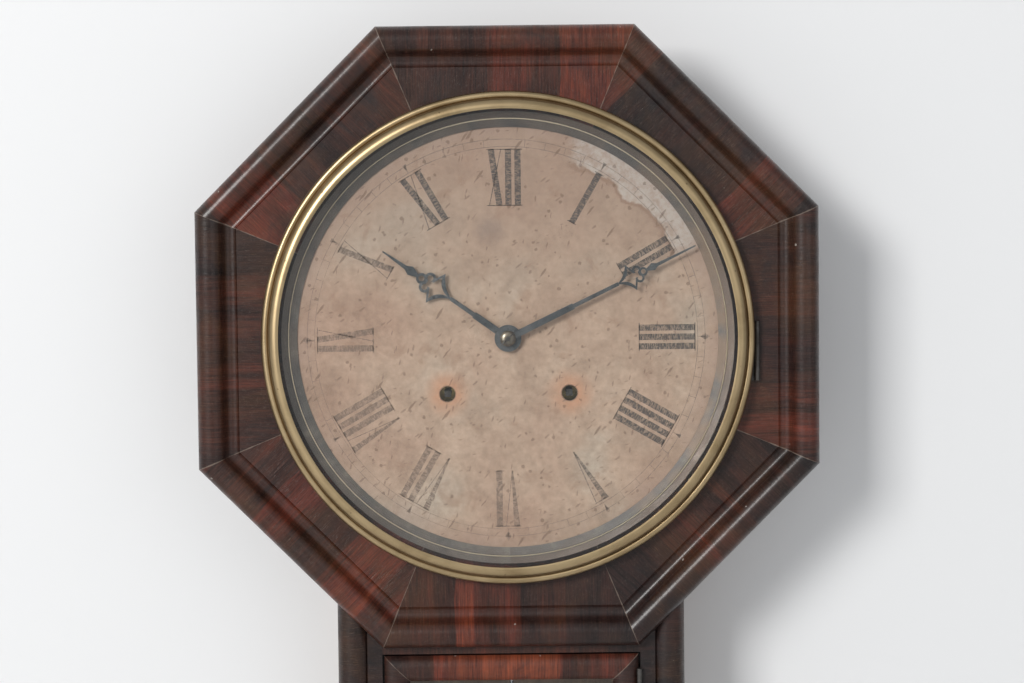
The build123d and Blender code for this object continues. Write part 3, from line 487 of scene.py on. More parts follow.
class Surface:
    """A new material with one Principled shader, and ways to drive it."""

    def __init__(self, name: str) -> None:
        """Make the material.

        Args:
            name: The material's name.
        """
        self.material = bpy.data.materials.new(name)
        self.material.use_nodes = True
        self.graph = Graph(self.material.node_tree)
        self.shader = self.material.node_tree.nodes["Principled BSDF"]
        self.place = self.graph.add("ShaderNodeTexCoord").outputs["Object"]

    def set(self, **values: object) -> None:
        """Feed the shader's sockets, named in lower case with underscores.

        Args:
            values: What feeds each socket.
        """
        for name, value in values.items():
            label = name.replace("_", " ").title().replace("Ior", "IOR")
            if isinstance(value, tuple) and len(value) == 3:
                value = (*value, 1.0)
            self.graph.feed(self.shader.inputs[label], value)

    def blotched(self, scale: float, low: float, high: float) -> bpy.types.NodeSocket:
        """Mask of uneven patches."""
        group = self.graph.group(blotches(), vector=self.place, scale=scale, low=low, high=high)
        return group.outputs["Mask"]

    def flecked(self, scale: float, share: float, size: float) -> bpy.types.NodeSocket:
        """Mask of scattered specks."""
        group = self.graph.group(flecks(), vector=self.place, scale=scale, share=share, size=size)
        return group.outputs["Mask"]

    def distance_from(self, centre: Point) -> bpy.types.NodeSocket:
        """Distance from an axis that runs through a point from front to back."""
        return self.graph.group(round_place(), vector=self.place, centre=centre).outputs["Radius"]

    def see_through(self, factor: object) -> None:
        """Let the surface turn clear by a factor.

        Args:
            factor: Share of the surface that is clear.
        """
        clear = self.graph.add("ShaderNodeBsdfTransparent").outputs[0]
        blend = self.graph.wired("ShaderNodeMixShader", {0: factor, 1: self.shader.outputs[0], 2: clear})
        output = self.material.node_tree.nodes["Material Output"]
        self.graph.feed(output.inputs["Surface"], blend.outputs[0])

    def bump(self, height: object, strength: float, distance: float) -> None:
        """Raise the surface by a height map.

        Args:
            height: The height map.
            strength: How strongly it shows.
            distance: Height of its full step, in metres.
        """
        feeds = {"Strength": strength, "Distance": distance, "Height": height}
        node = self.graph.wired("ShaderNodeBump", feeds)
        self.graph.feed(self.shader.inputs["Normal"], node.outputs["Normal"])


@dataclass(frozen=True)
class PolishedVeneer:
    """Old dark red veneer laid in short pieces under worn French polish."""

    name: str
    centre: Point
    across: Point
    along: Point
    seed: float
    mitres: tuple[Mitre, ...] = ()
    pieces_per_metre: float = 20.0
    redness: float = 0.0
    red_spans: tuple[tuple[float, float, float], ...] = ()
    span_edge: float = 0.0012
    mitre_width: float = 0.00042

    def material(self) -> bpy.types.Material:
        """Build the finish.

        Returns:
            The material.
        """
        surface = Surface(self.name)
        graph = surface.graph
        band = graph.group(band_frame(), vector=surface.place, centre=self.centre, across=self.across,
                           along=self.along)
        figure = graph.group(veneer_figure(), vector=band.outputs["Vector"], seed=self.seed,
                             pieces_per_metre=self.pieces_per_metre)
        tone = graph.plus(figure.outputs["Tone"], self.redness)
        for start, end, strength in self.red_spans:
            inside = graph.times(graph.span(figure.outputs["Along"], start, start + self.span_edge),
                                 graph.span(figure.outputs["Along"], end, end - self.span_edge))
            tone = graph.math("MULTIPLY_ADD", inside, strength, tone)
        wood = graph.ramp(tone, [(0.12, (0.011, 0.007, 0.007)), (0.34, (0.026, 0.011, 0.009)),
                                 (0.50, (0.048, 0.016, 0.010)), (0.70, (0.098, 0.021, 0.013)),
                                 (0.95, (0.165, 0.040, 0.018))])
        streak = graph.ramp(figure.outputs["Streak"], [(0.36, (0.22, 0.24, 0.27)),
                                                       (0.52, (0.95, 0.95, 0.95)),
                                                       (0.68, (1.8, 1.6, 1.45))])
        colour = graph.mix(0.85, wood, streak, "MULTIPLY")
        flecked = surface.blotched(16.0, 0.42, 0.66)
        colour = graph.tinted(colour, flecked, 0.36, (0.070, 0.031, 0.013))
        dust = graph.span(graph.noise(surface.place, 620.0, 3.0, 0.7), 0.52, 0.74, 0.0, 0.11)
        colour = graph.mix(dust, colour, (0.17, 0.13, 0.115))
        pores = graph.times(figure.outputs["Pores"], graph.math("MULTIPLY_ADD", flecked, 0.26, 0.06))
        colour = graph.mix(pores, colour, (0.16, 0.085, 0.045))
        grime = surface.blotched(26.0, 0.52, 0.72)
        colour = graph.tinted(colour, grime, 0.55, (0.012, 0.010, 0.011))
        specks = surface.flecked(170.0, 0.035, 0.10)
        colour = graph.tinted(colour, specks, 0.55, (0.42, 0.38, 0.34))
        for mitre in self.mitres:
            line = graph.group(joint_line(), vector=surface.place, corner=mitre.corner,
                               outward=mitre.outward, width=self.mitre_width).outputs["Mask"]
            colour = graph.tinted(colour, line, 0.42, (0.26, 0.205, 0.165))
        worn = surface.blotched(60.0, 0.40, 0.75)
        surface.set(base_color=colour, roughness=graph.span(worn, 0.0, 1.0, 0.36, 0.58), coat_weight=0.26,
                    coat_roughness=0.20, specular_ior_level=0.26)
        ridges = graph.noise(graph.stretched(band.outputs["Vector"], (14.0, 420.0, 14.0)), 1.0, 3.0, 0.6)
        height = graph.minus(graph.plus(ridges, graph.times(worn, 0.5)),
                             graph.times(figure.outputs["Pores"], 0.7))
        surface.bump(height, 0.45, 0.0004)
        return surface.material


@dataclass(frozen=True)
class StainedPine:
    """Plain softwood with brown stain, its grain along one axis."""

    name: str
    stretch: Point
    colours: tuple[Colour, Colour] = ((0.085, 0.042, 0.022), (0.20, 0.115, 0.062))

    def material(self) -> bpy.types.Material:
        """Build the finish.

        Returns:
            The material.
        """
        surface = Surface(self.name)
        graph = surface.graph
        rings = graph.noise(graph.stretched(surface.place, self.stretch), 1.0, 6.0, 0.6, 1.2)
        fibre = graph.noise(graph.stretched(surface.place, tuple(axis * 9.0 for axis in self.stretch)),
                            1.0, 3.0)
        colour = graph.ramp(rings, [(0.32, self.colours[0]), (0.66, self.colours[1])])
        colour = graph.shaded(colour, 0.45, fibre, [(0.3, (0.5, 0.5, 0.5)), (0.7, (1.25, 1.2, 1.15))])
        grime = surface.blotched(14.0, 0.48, 0.75)
        colour = graph.tinted(colour, grime, 0.5, (0.03, 0.02, 0.015))
        surface.set(base_color=colour, roughness=graph.span(fibre, 0.2, 0.8, 0.55, 0.78))
        surface.bump(graph.plus(fibre, rings), 0.35, 0.0004)
        return surface.material


@dataclass(frozen=True)
class AgedMetal:
    """Metal with dull patches, fine scratches and dirt."""

    name: str
    clean: Colour
    dull: Colour
    roughness: tuple[float, float] = (0.25, 0.45)
    metallic: float = 1.0
    patch_scale: float = 45.0
    patch_low: float = 0.40
    specks: float = 0.05

    def material(self) -> bpy.types.Material:
        """Build the finish.

        Returns:
            The material.
        """
        surface = Surface(self.name)
        graph = surface.graph
        patch = surface.blotched(self.patch_scale, self.patch_low, self.patch_low + 0.3)
        dirt = surface.flecked(420.0, self.specks, 0.3)
        colour = graph.mix(patch, self.clean, self.dull)
        colour = graph.tinted(colour, dirt, 0.7, tuple(part * 0.3 for part in self.dull))
        roughness = graph.span(patch, 0.0, 1.0, *self.roughness)
        surface.set(base_color=colour, metallic=self.metallic, roughness=roughness)
        surface.bump(graph.noise(surface.place, 900.0, 3.0), 0.06, 0.0002)
        return surface.material


@dataclass(frozen=True)
class SpunBrass:
    """Satin brass of the bezel: turned lines round the dial, dirt in the groove and painted shade at the
    foot.
    """

    name: str
    groove_radius: float = 0.1656
    groove_half: float = 0.0016

    def material(self) -> bpy.types.Material:
        """Build the finish.

        Returns:
            The material.
        """
        surface = Surface(self.name)
        graph = surface.graph
        place = graph.group(round_place(), vector=surface.place)
        radius, turn = place.outputs["Radius"], place.outputs["Turn"]
        depth = graph.parts(surface.place)[1]
        lines = graph.noise(graph.joined(graph.times(radius, 2600.0), graph.times(turn, 3.0),
                                         graph.times(depth, 2600.0)), 1.0, 3.0, 0.6)
        patch = surface.blotched(24.0, 0.38, 0.72)
        colour = graph.mix(patch, (0.47, 0.355, 0.205), (0.33, 0.240, 0.130))
        off = graph.math("ABSOLUTE", graph.minus(radius, self.groove_radius))
        groove = graph.span(off, self.groove_half * 0.3, self.groove_half, 1.0, 0.0)
        # The foot band darkens the ring's back edge, where it meets the head: painted shade. The groove band
        # is real dirt.
        foot = graph.span(depth, -0.0955, -0.0915)
        groove_dirt_and_foot_shade = graph.math("MAXIMUM", groove, foot)
        colour = graph.tinted(colour, groove_dirt_and_foot_shade, 0.45, (0.16, 0.095, 0.05))
        specks = surface.flecked(300.0, 0.05, 0.16)
        colour = graph.tinted(colour, specks, 0.6, (0.13, 0.09, 0.05))
        rough = graph.plus(graph.span(lines, 0.3, 0.7, 0.30, 0.42), graph.times(groove_dirt_and_foot_shade, 0.12))
        surface.set(base_color=colour, metallic=1.0, roughness=rough)
        surface.bump(lines, 0.05, 0.0002)
        return surface.material


@dataclass(frozen=True)
class PatinatedRing:
    """Brown-grey patina of the sight ring, with its fine bead rubbed bright."""

    name: str
    bead_radius: float = 0.1519
    bead_half: float = 0.0005

    def material(self) -> bpy.types.Material:
        """Build the finish.

        Returns:
            The material.
        """
        surface = Surface(self.name)
        graph = surface.graph
        place = graph.group(round_place(), vector=surface.place)
        radius, turn = place.outputs["Radius"], place.outputs["Turn"]
        rolled = graph.joined(graph.times(radius, 6.0), turn, graph.times(radius, 6.0))
        mottle = graph.noise(rolled, 9.0, 6.0, 0.65, 0.5)
        colour = graph.ramp(mottle, [(0.30, (0.050, 0.046, 0.044)), (0.55, (0.105, 0.096, 0.088)),
                                     (0.75, (0.20, 0.18, 0.155))])
        bands = graph.noise(graph.joined(graph.times(radius, 1500.0), 0.0, 0.0), 1.0, 2.0)
        colour = graph.shaded(colour, 0.75, bands, [(0.36, (0.45, 0.43, 0.41)), (0.60, (1.1, 1.08, 1.05))])
        upper = graph.span(graph.parts(surface.place)[2], DIAL_HEIGHT + 0.02, DIAL_HEIGHT + 0.13)
        colour = graph.tinted(colour, upper, 0.6, (0.035, 0.030, 0.028))
        brown = graph.times(graph.span(turn, 0.3, 1.4), graph.span(turn, 2.9, 1.9))
        rust = surface.blotched(34.0, 0.36, 0.62)
        colour = graph.mix(graph.times(graph.plus(graph.times(brown, 0.7), 0.18), rust), colour,
                           (0.17, 0.11, 0.07))
        outer = graph.times(graph.span(radius, 0.1524, 0.1532), graph.span(turn, -0.6, 1.2, 0.2, 0.75))
        colour = graph.mix(outer, colour, (0.090, 0.062, 0.046))
        off = graph.math("ABSOLUTE", graph.minus(radius, self.bead_radius))
        bead = graph.span(off, self.bead_half * 0.6, self.bead_half, 1.0, 0.0)
        colour = graph.tinted(colour, bead, 0.8, (0.46, 0.38, 0.27))
        surface.set(base_color=colour, metallic=0.15, roughness=graph.span(mottle, 0.3, 0.7, 0.46, 0.64))
        surface.bump(mottle, 0.15, 0.0004)
        return surface.material


@dataclass(frozen=True)
class AgedPaper:
    """Tanned paper of the dial, with stains, strokes of dirt and rust about its holes."""

    name: str
    holes: tuple[Point, ...] = ()
    print_share: float = 0.0
    ink: Colour = (0.040, 0.038, 0.038)
    smudge_place: Point = (-0.012, 0.0, DIAL_HEIGHT + 0.074)
    strokes: tuple[tuple[float, float, float, float, float], ...] = (
        (53.0, 0.50, 84.0, 0.09, 0.55), (38.0, 0.66, 118.0, 0.10, 0.42), (78.0, 0.66, 134.0, 0.09, 0.45),
        (12.0, 0.80, 150.0, 0.07, 0.38))

    def tint(self, surface: Surface) -> bpy.types.NodeSocket:
        """Colour of the paper over the dial.

        Args:
            surface: The material that the nodes go into.

        Returns:
            The colour output.
        """
        graph = surface.graph
        place = graph.group(round_place(), vector=surface.place)
        radius, turn = place.outputs["Radius"], place.outputs["Turn"]
        x, _, z = graph.parts(surface.place)
        broad = graph.noise(surface.place, 11.0, 4.0, 0.5, 0.3)
        cloud = graph.noise(surface.place, 34.0, 6.0, 0.62, 0.5)
        colour = graph.ramp(broad, [(0.34, (0.38, 0.250, 0.180)), (0.52, (0.42, 0.300, 0.220)),
                                    (0.68, (0.43, 0.350, 0.275))])
        colour = graph.shaded(colour, 0.75, cloud, [(0.28, (0.68, 0.65, 0.63)), (0.52, (1.0, 1.0, 1.0)),
                                                    (0.75, (1.12, 1.14, 1.16))])
        grain = graph.noise(surface.place, 240.0, 4.0, 0.6)
        colour = graph.shaded(colour, 0.5, grain, [(0.3, (0.70, 0.69, 0.68)), (0.7, (1.2, 1.2, 1.2))])
        high = graph.span(z, DIAL_HEIGHT - 0.02, DIAL_HEIGHT + 0.13)
        colour = graph.tinted(colour, high, 0.55, (0.27, 0.185, 0.138))
        rim = graph.times(graph.span(radius, 0.128, 0.146), graph.span(cloud, 0.35, 0.62))
        colour = graph.tinted(colour, rim, 0.45, (0.30, 0.21, 0.17))
        patch = self._patch(graph, radius, turn, cloud)
        colour = graph.tinted(colour, patch[1], 0.75, (0.24, 0.15, 0.105))
        bleached = graph.times(patch[0], graph.span(grain, 0.25, 0.65, 0.25, 0.75))
        colour = graph.mix(bleached, colour, (0.45, 0.40, 0.36))
        for hole in self.holes:
            halo = surface.distance_from(hole)
            rust = graph.times(graph.span(halo, 0.0055, 0.020, 1.0, 0.0), graph.span(cloud, 0.2, 0.7))
            colour = graph.tinted(colour, rust, 0.75, (0.50, 0.22, 0.11))
            edge = graph.span(halo, 0.0056, 0.0064, 1.0, 0.0)
            colour = graph.tinted(colour, edge, 0.8, (0.20, 0.12, 0.08))
        dark = graph.times(surface.flecked(155.0, 0.32, 0.16), 0.50)
        smudge = surface.distance_from(self.smudge_place)
        smudge = graph.times(graph.span(smudge, 0.002, 0.016, 1.0, 0.0), graph.span(cloud, 0.2, 0.6))
        colour = graph.tinted(colour, smudge, 0.55, (0.20, 0.15, 0.125))
        stain = surface.blotched(46.0, 0.56, 0.68)
        colour = graph.tinted(colour, stain, 0.38, (0.25, 0.145, 0.095))
        for slant, stretch, scale, share, strength in self.strokes:
            turned = self._turned(graph, x, z, math.radians(slant))
            mask = graph.group(flecks(), vector=graph.stretched(turned, (stretch, 1.0, 2.4)), scale=scale,
                               share=share, size=0.16).outputs["Mask"]
            dark = graph.math("MAXIMUM", dark, graph.times(mask, strength))
        return graph.mix(dark, colour, (0.12, 0.066, 0.042))

    def _turned(self, graph: Graph, x: object, z: object, slant: float) -> bpy.types.NodeSocket:
        """The place on the dial, with its axes turned to a slant.

        Args:
            graph: The graph that the nodes go into.
            x: Place across the dial.
            z: Place up the dial.
            slant: The turn, in radians.

        Returns:
            The turned place.
        """
        along, off = math.cos(slant), math.sin(slant)
        first = graph.plus(graph.times(x, along), graph.times(z, off))
        second = graph.minus(graph.times(x, off), graph.times(z, along))
        return graph.joined(first, 0.0, second)

    def _patch(self, graph: Graph, radius: object, turn: object, cloud: object) -> tuple[object, object]:
        """Masks of the bleached patch by the rim, from one to half past two, and of its brown edge.

        Args:
            graph: The graph that the nodes go into.
            radius: Distance from the dial's centre.
            turn: Clockwise turn from twelve, in radians.
            cloud: Noise that frays the edges.

        Returns:
            The mask of the patch and the mask of its edge.
        """
        reach = graph.plus(radius, graph.times(graph.minus(cloud, 0.5), 0.022))
        swayed = graph.math("MULTIPLY_ADD", graph.minus(cloud, 0.5), 0.30, turn)
        sides = graph.times(graph.span(swayed, 0.30, 0.38), graph.span(swayed, 1.16, 1.06))
        inside = graph.times(graph.span(reach, 0.1275, 0.1300), sides)
        edge = graph.times(graph.span(reach, 0.1245, 0.1268), sides, graph.span(reach, 0.1300, 0.1275))
        return inside, edge

    def material(self) -> bpy.types.Material:
        """Build the finish.

        Returns:
            The material.
        """
        surface = Surface(self.name)
        graph = surface.graph
        colour = self.tint(surface)
        fibres = graph.noise(surface.place, 520.0, 4.0, 0.6)
        if self.print_share:
            rubbed = graph.noise(surface.place, 430.0, 4.0, 0.7)
            x, _, z = graph.parts(surface.place)
            lit = graph.plus(graph.times(x, 0.75), graph.times(z, 0.66))
            faded = graph.span(lit, 0.66 * DIAL_HEIGHT + 0.02, 0.66 * DIAL_HEIGHT - 0.08)
            lost = graph.times(faded, 0.06)
            kept = graph.span(graph.minus(rubbed, lost), 0.26, 0.52, 0.30, self.print_share)
            place = graph.group(round_place(), vector=surface.place)
            bands = graph.joined(graph.times(place.outputs["Radius"], 1500.0),
                                 graph.times(place.outputs["Turn"], 30.0), 0.0)
            kept = graph.times(kept, graph.span(graph.noise(bands, 1.0, 2.0), 0.36, 0.56, 0.45, 1.0))
            ink = graph.tinted(self.ink, faded, 0.85, (0.165, 0.115, 0.088))
            colour = graph.mix(kept, colour, ink)
        surface.set(base_color=colour, roughness=graph.span(fibres, 0.3, 0.7, 0.72, 0.88),
                    specular_ior_level=0.35)
        surface.bump(graph.plus(fibres, graph.noise(surface.place, 40.0, 3.0)), 0.18, 0.0004)
        return surface.material


@dataclass(frozen=True)
class ClearGlass:
    """Flat clear glass that lets light through to what is behind."""

    name: str

    def material(self) -> bpy.types.Material:
        """Build the finish.

        Returns:
            The material.
        """
        surface = Surface(self.name)
        graph = surface.graph
        smears = surface.blotched(30.0, 0.45, 0.8)
        surface.set(base_color=(0.97, 0.985, 0.98), roughness=graph.span(smears, 0.0, 1.0, 0.0, 0.03),
                    transmission_weight=1.0, ior=1.45)
        path = graph.add("ShaderNodeLightPath")
        surface.see_through(graph.math("MAXIMUM", path.outputs["Is Shadow Ray"],
                                       path.outputs["Is Diffuse Ray"]))
        return surface.material


def dress(material: bpy.types.Material, *nodes: str) -> None:
    """Give CAD nodes one material.

    Args:
        material: The finish.
        nodes: Names of the nodes.
    """
    for name in nodes:
        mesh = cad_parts[name].data
        mesh.materials.clear()
        mesh.materials.append(material)
        LOG.info("dressed %s with %s", name, material.name)


def piece_from(name: str, mesh: bpy.types.Mesh, body: str,
               material: Optional[bpy.types.Material] = None) -> bpy.types.Object:
    """Make a finished piece of a mesh, and let it ride on a body.

    Args:
        name: The piece's name.
        mesh: Its mesh, in place.
        body: The body that it rides on.
        material: Its finish, where the mesh has none yet.

    Returns:
        The new object.
    """
    piece = bpy.data.objects.new(name, mesh)
    bpy.context.scene.collection.objects.link(piece)
    if material:
        mesh.materials.clear()
        mesh.materials.append(material)
    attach(piece, body)
    LOG.info("built %s on %s: %d faces", name, body, len(mesh.polygons))
    return piece


def plate_mesh(name: str, outlines: Iterable[Sequence[tuple[float, float]]], back: float,
               front: float) -> bpy.types.Mesh:
    """Flat closed plates that face forward.

    Args:
        name: The mesh's name.
        outlines: Convex outlines of (x, z) points, in metres.
        back: Depth of the back faces.
        front: Depth of the front faces.

    Returns:
        The mesh.
    """
    work = bmesh.new()
    for outline in outlines:
        loops = [[work.verts.new((x, -depth, z)) for x, z in outline] for depth in (back, front)]
        work.faces.new(loops[0])
        work.faces.new(list(reversed(loops[1])))
        for index in range(len(outline)):
            after = (index + 1) % len(outline)
            work.faces.new([loops[0][after], loops[0][index], loops[1][index], loops[1][after]])
    bmesh.ops.recalc_face_normals(work, faces=work.faces)
    mesh = bpy.data.meshes.new(name)
    work.to_mesh(mesh)
    work.free()
    return mesh


def ring_tree() -> bpy.types.NodeTree:
    """Geometry tree that sets copies of a mark round a circle and skips some of them.

    Returns:
        The tree.
    """
    name = "marks_in_a_ring"
    if name in bpy.data.node_groups:
        return bpy.data.node_groups[name]
    tree = bpy.data.node_groups.new(name, "GeometryNodeTree")
    for label, kind in (("Geometry", "NodeSocketGeometry"), ("Count", "NodeSocketInt"),
                        ("Skip every", "NodeSocketInt"), ("Centre", "NodeSocketVector"),
                        ("Material", "NodeSocketMaterial")):
        tree.interface.new_socket(label, in_out="INPUT", socket_type=kind)
    tree.interface.new_socket("Geometry", in_out="OUTPUT", socket_type="NodeSocketGeometry")
    graph = Graph(tree)
    start, end = graph.add("NodeGroupInput"), graph.add("NodeGroupOutput")
    places = {"Count": start.outputs["Count"], "Position": start.outputs["Centre"]}
    points = graph.wired("GeometryNodePoints", places)
    index = graph.add("GeometryNodeInputIndex").outputs[0]
    skipped = graph.math("COMPARE", graph.math("MODULO", index, start.outputs["Skip every"]), 0.0, 0.5)
    turn = graph.times(index, graph.math("DIVIDE", math.tau, start.outputs["Count"]))
    kept_turn = graph.wired("GeometryNodeStoreNamedAttribute",
                            {"Name": "turn", "Geometry": points.outputs[0], "Value": turn},
                            data_type="FLOAT", domain="POINT")
    trimmed = graph.wired("GeometryNodeDeleteGeometry",
                          {"Geometry": kept_turn.outputs[0], "Selection": skipped}, domain="POINT")
    named = graph.wired("GeometryNodeInputNamedAttribute", {"Name": "turn"}, data_type="FLOAT")
    spin = graph.joined(0.0, named.outputs["Attribute"], 0.0)
    rotation = graph.wired("FunctionNodeEulerToRotation", {0: spin})
    copies = graph.wired("GeometryNodeInstanceOnPoints",
                         {"Points": trimmed.outputs[0], "Instance": start.outputs["Geometry"],
                          "Rotation": rotation.outputs[0]})
    real = graph.wired("GeometryNodeRealizeInstances", {0: copies.outputs[0]})
    paint = graph.wired("GeometryNodeSetMaterial",
                        {"Geometry": real.outputs[0], "Material": start.outputs["Material"]})
    graph.feed(end.inputs[0], paint.outputs[0])
    return tree


def ring_of(name: str, mark: bpy.types.Mesh, count: int, skip_every: int, centre: Point,
            material: bpy.types.Material) -> bpy.types.Mesh:
    """Copies of a mark round a circle, as one plain mesh.

    Args:
        name: The mesh's name.
        mark: One mark, drawn above the origin.
        count: How many places there are round the circle.
        skip_every: Leaves out each place whose number divides by this.
        centre: The circle's centre.
        material: The finish.

    Returns:
        The mesh.
    """
    holder = bpy.data.objects.new(name, mark)
    bpy.context.scene.collection.objects.link(holder)
    modifier = holder.modifiers.new("ring", "NODES")
    modifier.node_group = ring_tree()
    values = {"Count": count, "Skip every": skip_every, "Centre": centre, "Material": material}
    for socket in modifier.node_group.interface.items_tree:
        if socket.in_out == "INPUT" and socket.name in values:
            modifier[socket.identifier] = values[socket.name]
    bpy.context.view_layer.update()
    evaluated = holder.evaluated_get(bpy.context.evaluated_depsgraph_get())
    mesh = bpy.data.meshes.new_from_object(evaluated)
    mesh.name = name
    holder.modifiers.clear()
    bpy.data.objects.remove(holder)
    return mesh


def merged(name: str, meshes: Sequence[bpy.types.Mesh]) -> bpy.types.Mesh:
    """Several meshes as one.

    Args:
        name: The mesh's name.
        meshes: The meshes to join.

    Returns:
        The joined mesh.
    """
    work = bmesh.new()
    for mesh in meshes:
        work.from_mesh(mesh)
    result = bpy.data.meshes.new(name)
    work.to_mesh(result)
    work.free()
    return result


@dataclass
class Head:
    """Octagonal head: eight mitred segments of crossbanded veneer."""

    names: tuple[str, ...] = ("bottom", "bottom_right", "right", "top_right", "top", "top_left", "left",
                              "bottom_left")
    seeds: tuple[float, ...] = (3.1, 7.7, 1.4, 5.3, 9.2, 2.6, 6.5, 4.4)
    redness: tuple[float, ...] = (0.00, -0.04, 0.00, -0.02, 0.00, -0.02, 0.04, 0.02)
    red_spans: tuple[tuple[tuple[float, float, float], ...], ...] = (
        ((-0.036, -0.022, 0.20),), ((-0.010, 0.020, 0.04),), ((0.016, 0.052, 0.10),),
        ((-0.076, -0.036, 0.26),), ((-0.086, -0.034, 0.28), (-0.012, 0.012, 0.06)), ((0.034, 0.090, 0.16),),
        ((0.018, 0.074, 0.10), (-0.044, -0.026, 0.12)), ((-0.037, -0.003, 0.24), (0.030, 0.064, 0.18)))

    def dress(self) -> None:
        """Give each segment its veneer, with the grain across it."""
        centre = (0.0, 0.0, DIAL_HEIGHT)
        half = math.pi / OCTAGON_SIDES
        for index, name in enumerate(self.names):
            angle = math.radians(-90 + 45 * index)
            across = (math.cos(angle), 0.0, math.sin(angle))
            along = (-math.sin(angle), 0.0, math.cos(angle))
            ends = []
            for side in (-1, 1):
                turn = angle + side * (half + math.pi / 2)
                ends.append(Mitre(centre, (math.cos(turn), 0.0, math.sin(turn))))
            finish = PolishedVeneer("veneer_" + name, centre, across, along, self.seeds[index],
                                    tuple(ends), 19.0, self.redness[index], self.red_spans[index])
            dress(finish.material(), "head_" + name)


@dataclass
class Trunk:
    """Front of the trunk and the box behind it."""

    middle: Point = (0.0, 0.0, -0.45)
    rails: dict[str, tuple[Point, Point]] = field(default_factory=lambda: {
        "trunk_stile_left": ((-1.0, 0.0, 0.0), (0.0, 0.0, 1.0)),
        "trunk_stile_right": ((1.0, 0.0, 0.0), (0.0, 0.0, 1.0)),
        "trunk_bottom_rail": ((0.0, 0.0, -1.0), (1.0, 0.0, 0.0)),
        "trunk_top_rail": ((0.0, 0.0, 1.0), (1.0, 0.0, 0.0)),
        "trunk_lower_left": ((-0.7071, 0.0, -0.7071), (0.7071, 0.0, -0.7071)),
        "trunk_lower_right": ((0.7071, 0.0, -0.7071), (0.7071, 0.0, 0.7071)),
    })

    def dress(self) -> None:
        """Give the mouldings dark veneer and the boards stained pine."""
        for number, (name, (across, along)) in enumerate(self.rails.items()):
            finish = PolishedVeneer("veneer_" + name, self.middle, across, along, 11.3 + 2.7 * number,
                                    pieces_per_metre=13.0, redness=-0.10)
            dress(finish.material(), name)
        upright = StainedPine("pine_upright", (60.0, 60.0, 4.0))
        level = StainedPine("pine_level", (4.0, 60.0, 60.0))
        back = StainedPine("pine_back", (45.0, 45.0, 3.0), ((0.16, 0.095, 0.052), (0.30, 0.20, 0.12)))
        dress(upright.material(), "box_sides")
        dress(level.material(), "box_end_boards")
        dress(back.material(), "backboard")


@dataclass
class TrunkDoor:
    """Mitred door of the trunk, with its glass, pull and hinges."""

    middle: Point = (0.0, 0.0, -0.45)
    red_span: tuple[float, float, float] = (-0.053, 0.037, 0.26)

    def dress(self) -> None:
        """Give each rail its veneer and the fittings their metal."""
        low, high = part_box("door_top_rail")
        left_corner, right_corner = (low[0], 0.0, high[2]), (high[0], 0.0, high[2])
        slope = math.sqrt(0.5)
        top_ends = (Mitre(left_corner, (-slope, 0.0, -slope)), Mitre(right_corner, (slope, 0.0, -slope)))
        rails = {
            "door_top_rail": ((0.0, 0.0, 1.0), (1.0, 0.0, 0.0), top_ends),
            "door_bottom_rail": ((0.0, 0.0, -1.0), (1.0, 0.0, 0.0), ()),
            "door_stile_left": ((-1.0, 0.0, 0.0), (0.0, 0.0, 1.0),
                                (Mitre(left_corner, (slope, 0.0, slope)),)),
            "door_stile_right": ((1.0, 0.0, 0.0), (0.0, 0.0, 1.0),
                                 (Mitre(right_corner, (-slope, 0.0, slope)),)),
            "door_lower_left": ((-slope, 0.0, -slope), (slope, 0.0, -slope), ()),
            "door_lower_right": ((slope, 0.0, -slope), (slope, 0.0, slope), ()),
        }
        for number, (name, (across, along, ends)) in enumerate(rails.items()):
            spans = (self.red_span,) if "top" in name else ()
            finish = PolishedVeneer("veneer_" + name, self.middle, across, along, 31.9 + 3.3 * number, ends,
                                    14.0, 0.06, spans)
            dress(finish.material(), name)
        dress(ClearGlass("door_glass").material(), "door_glass")
        iron = AgedMetal("hinge_iron", (0.10, 0.095, 0.09), (0.05, 0.04, 0.035), (0.40, 0.62), 0.8)
        dress(iron.material(), "door_hinge_leaves", "frame_hinge_leaves", "bezel_hinge_leaf",
              "head_hinge_leaf")


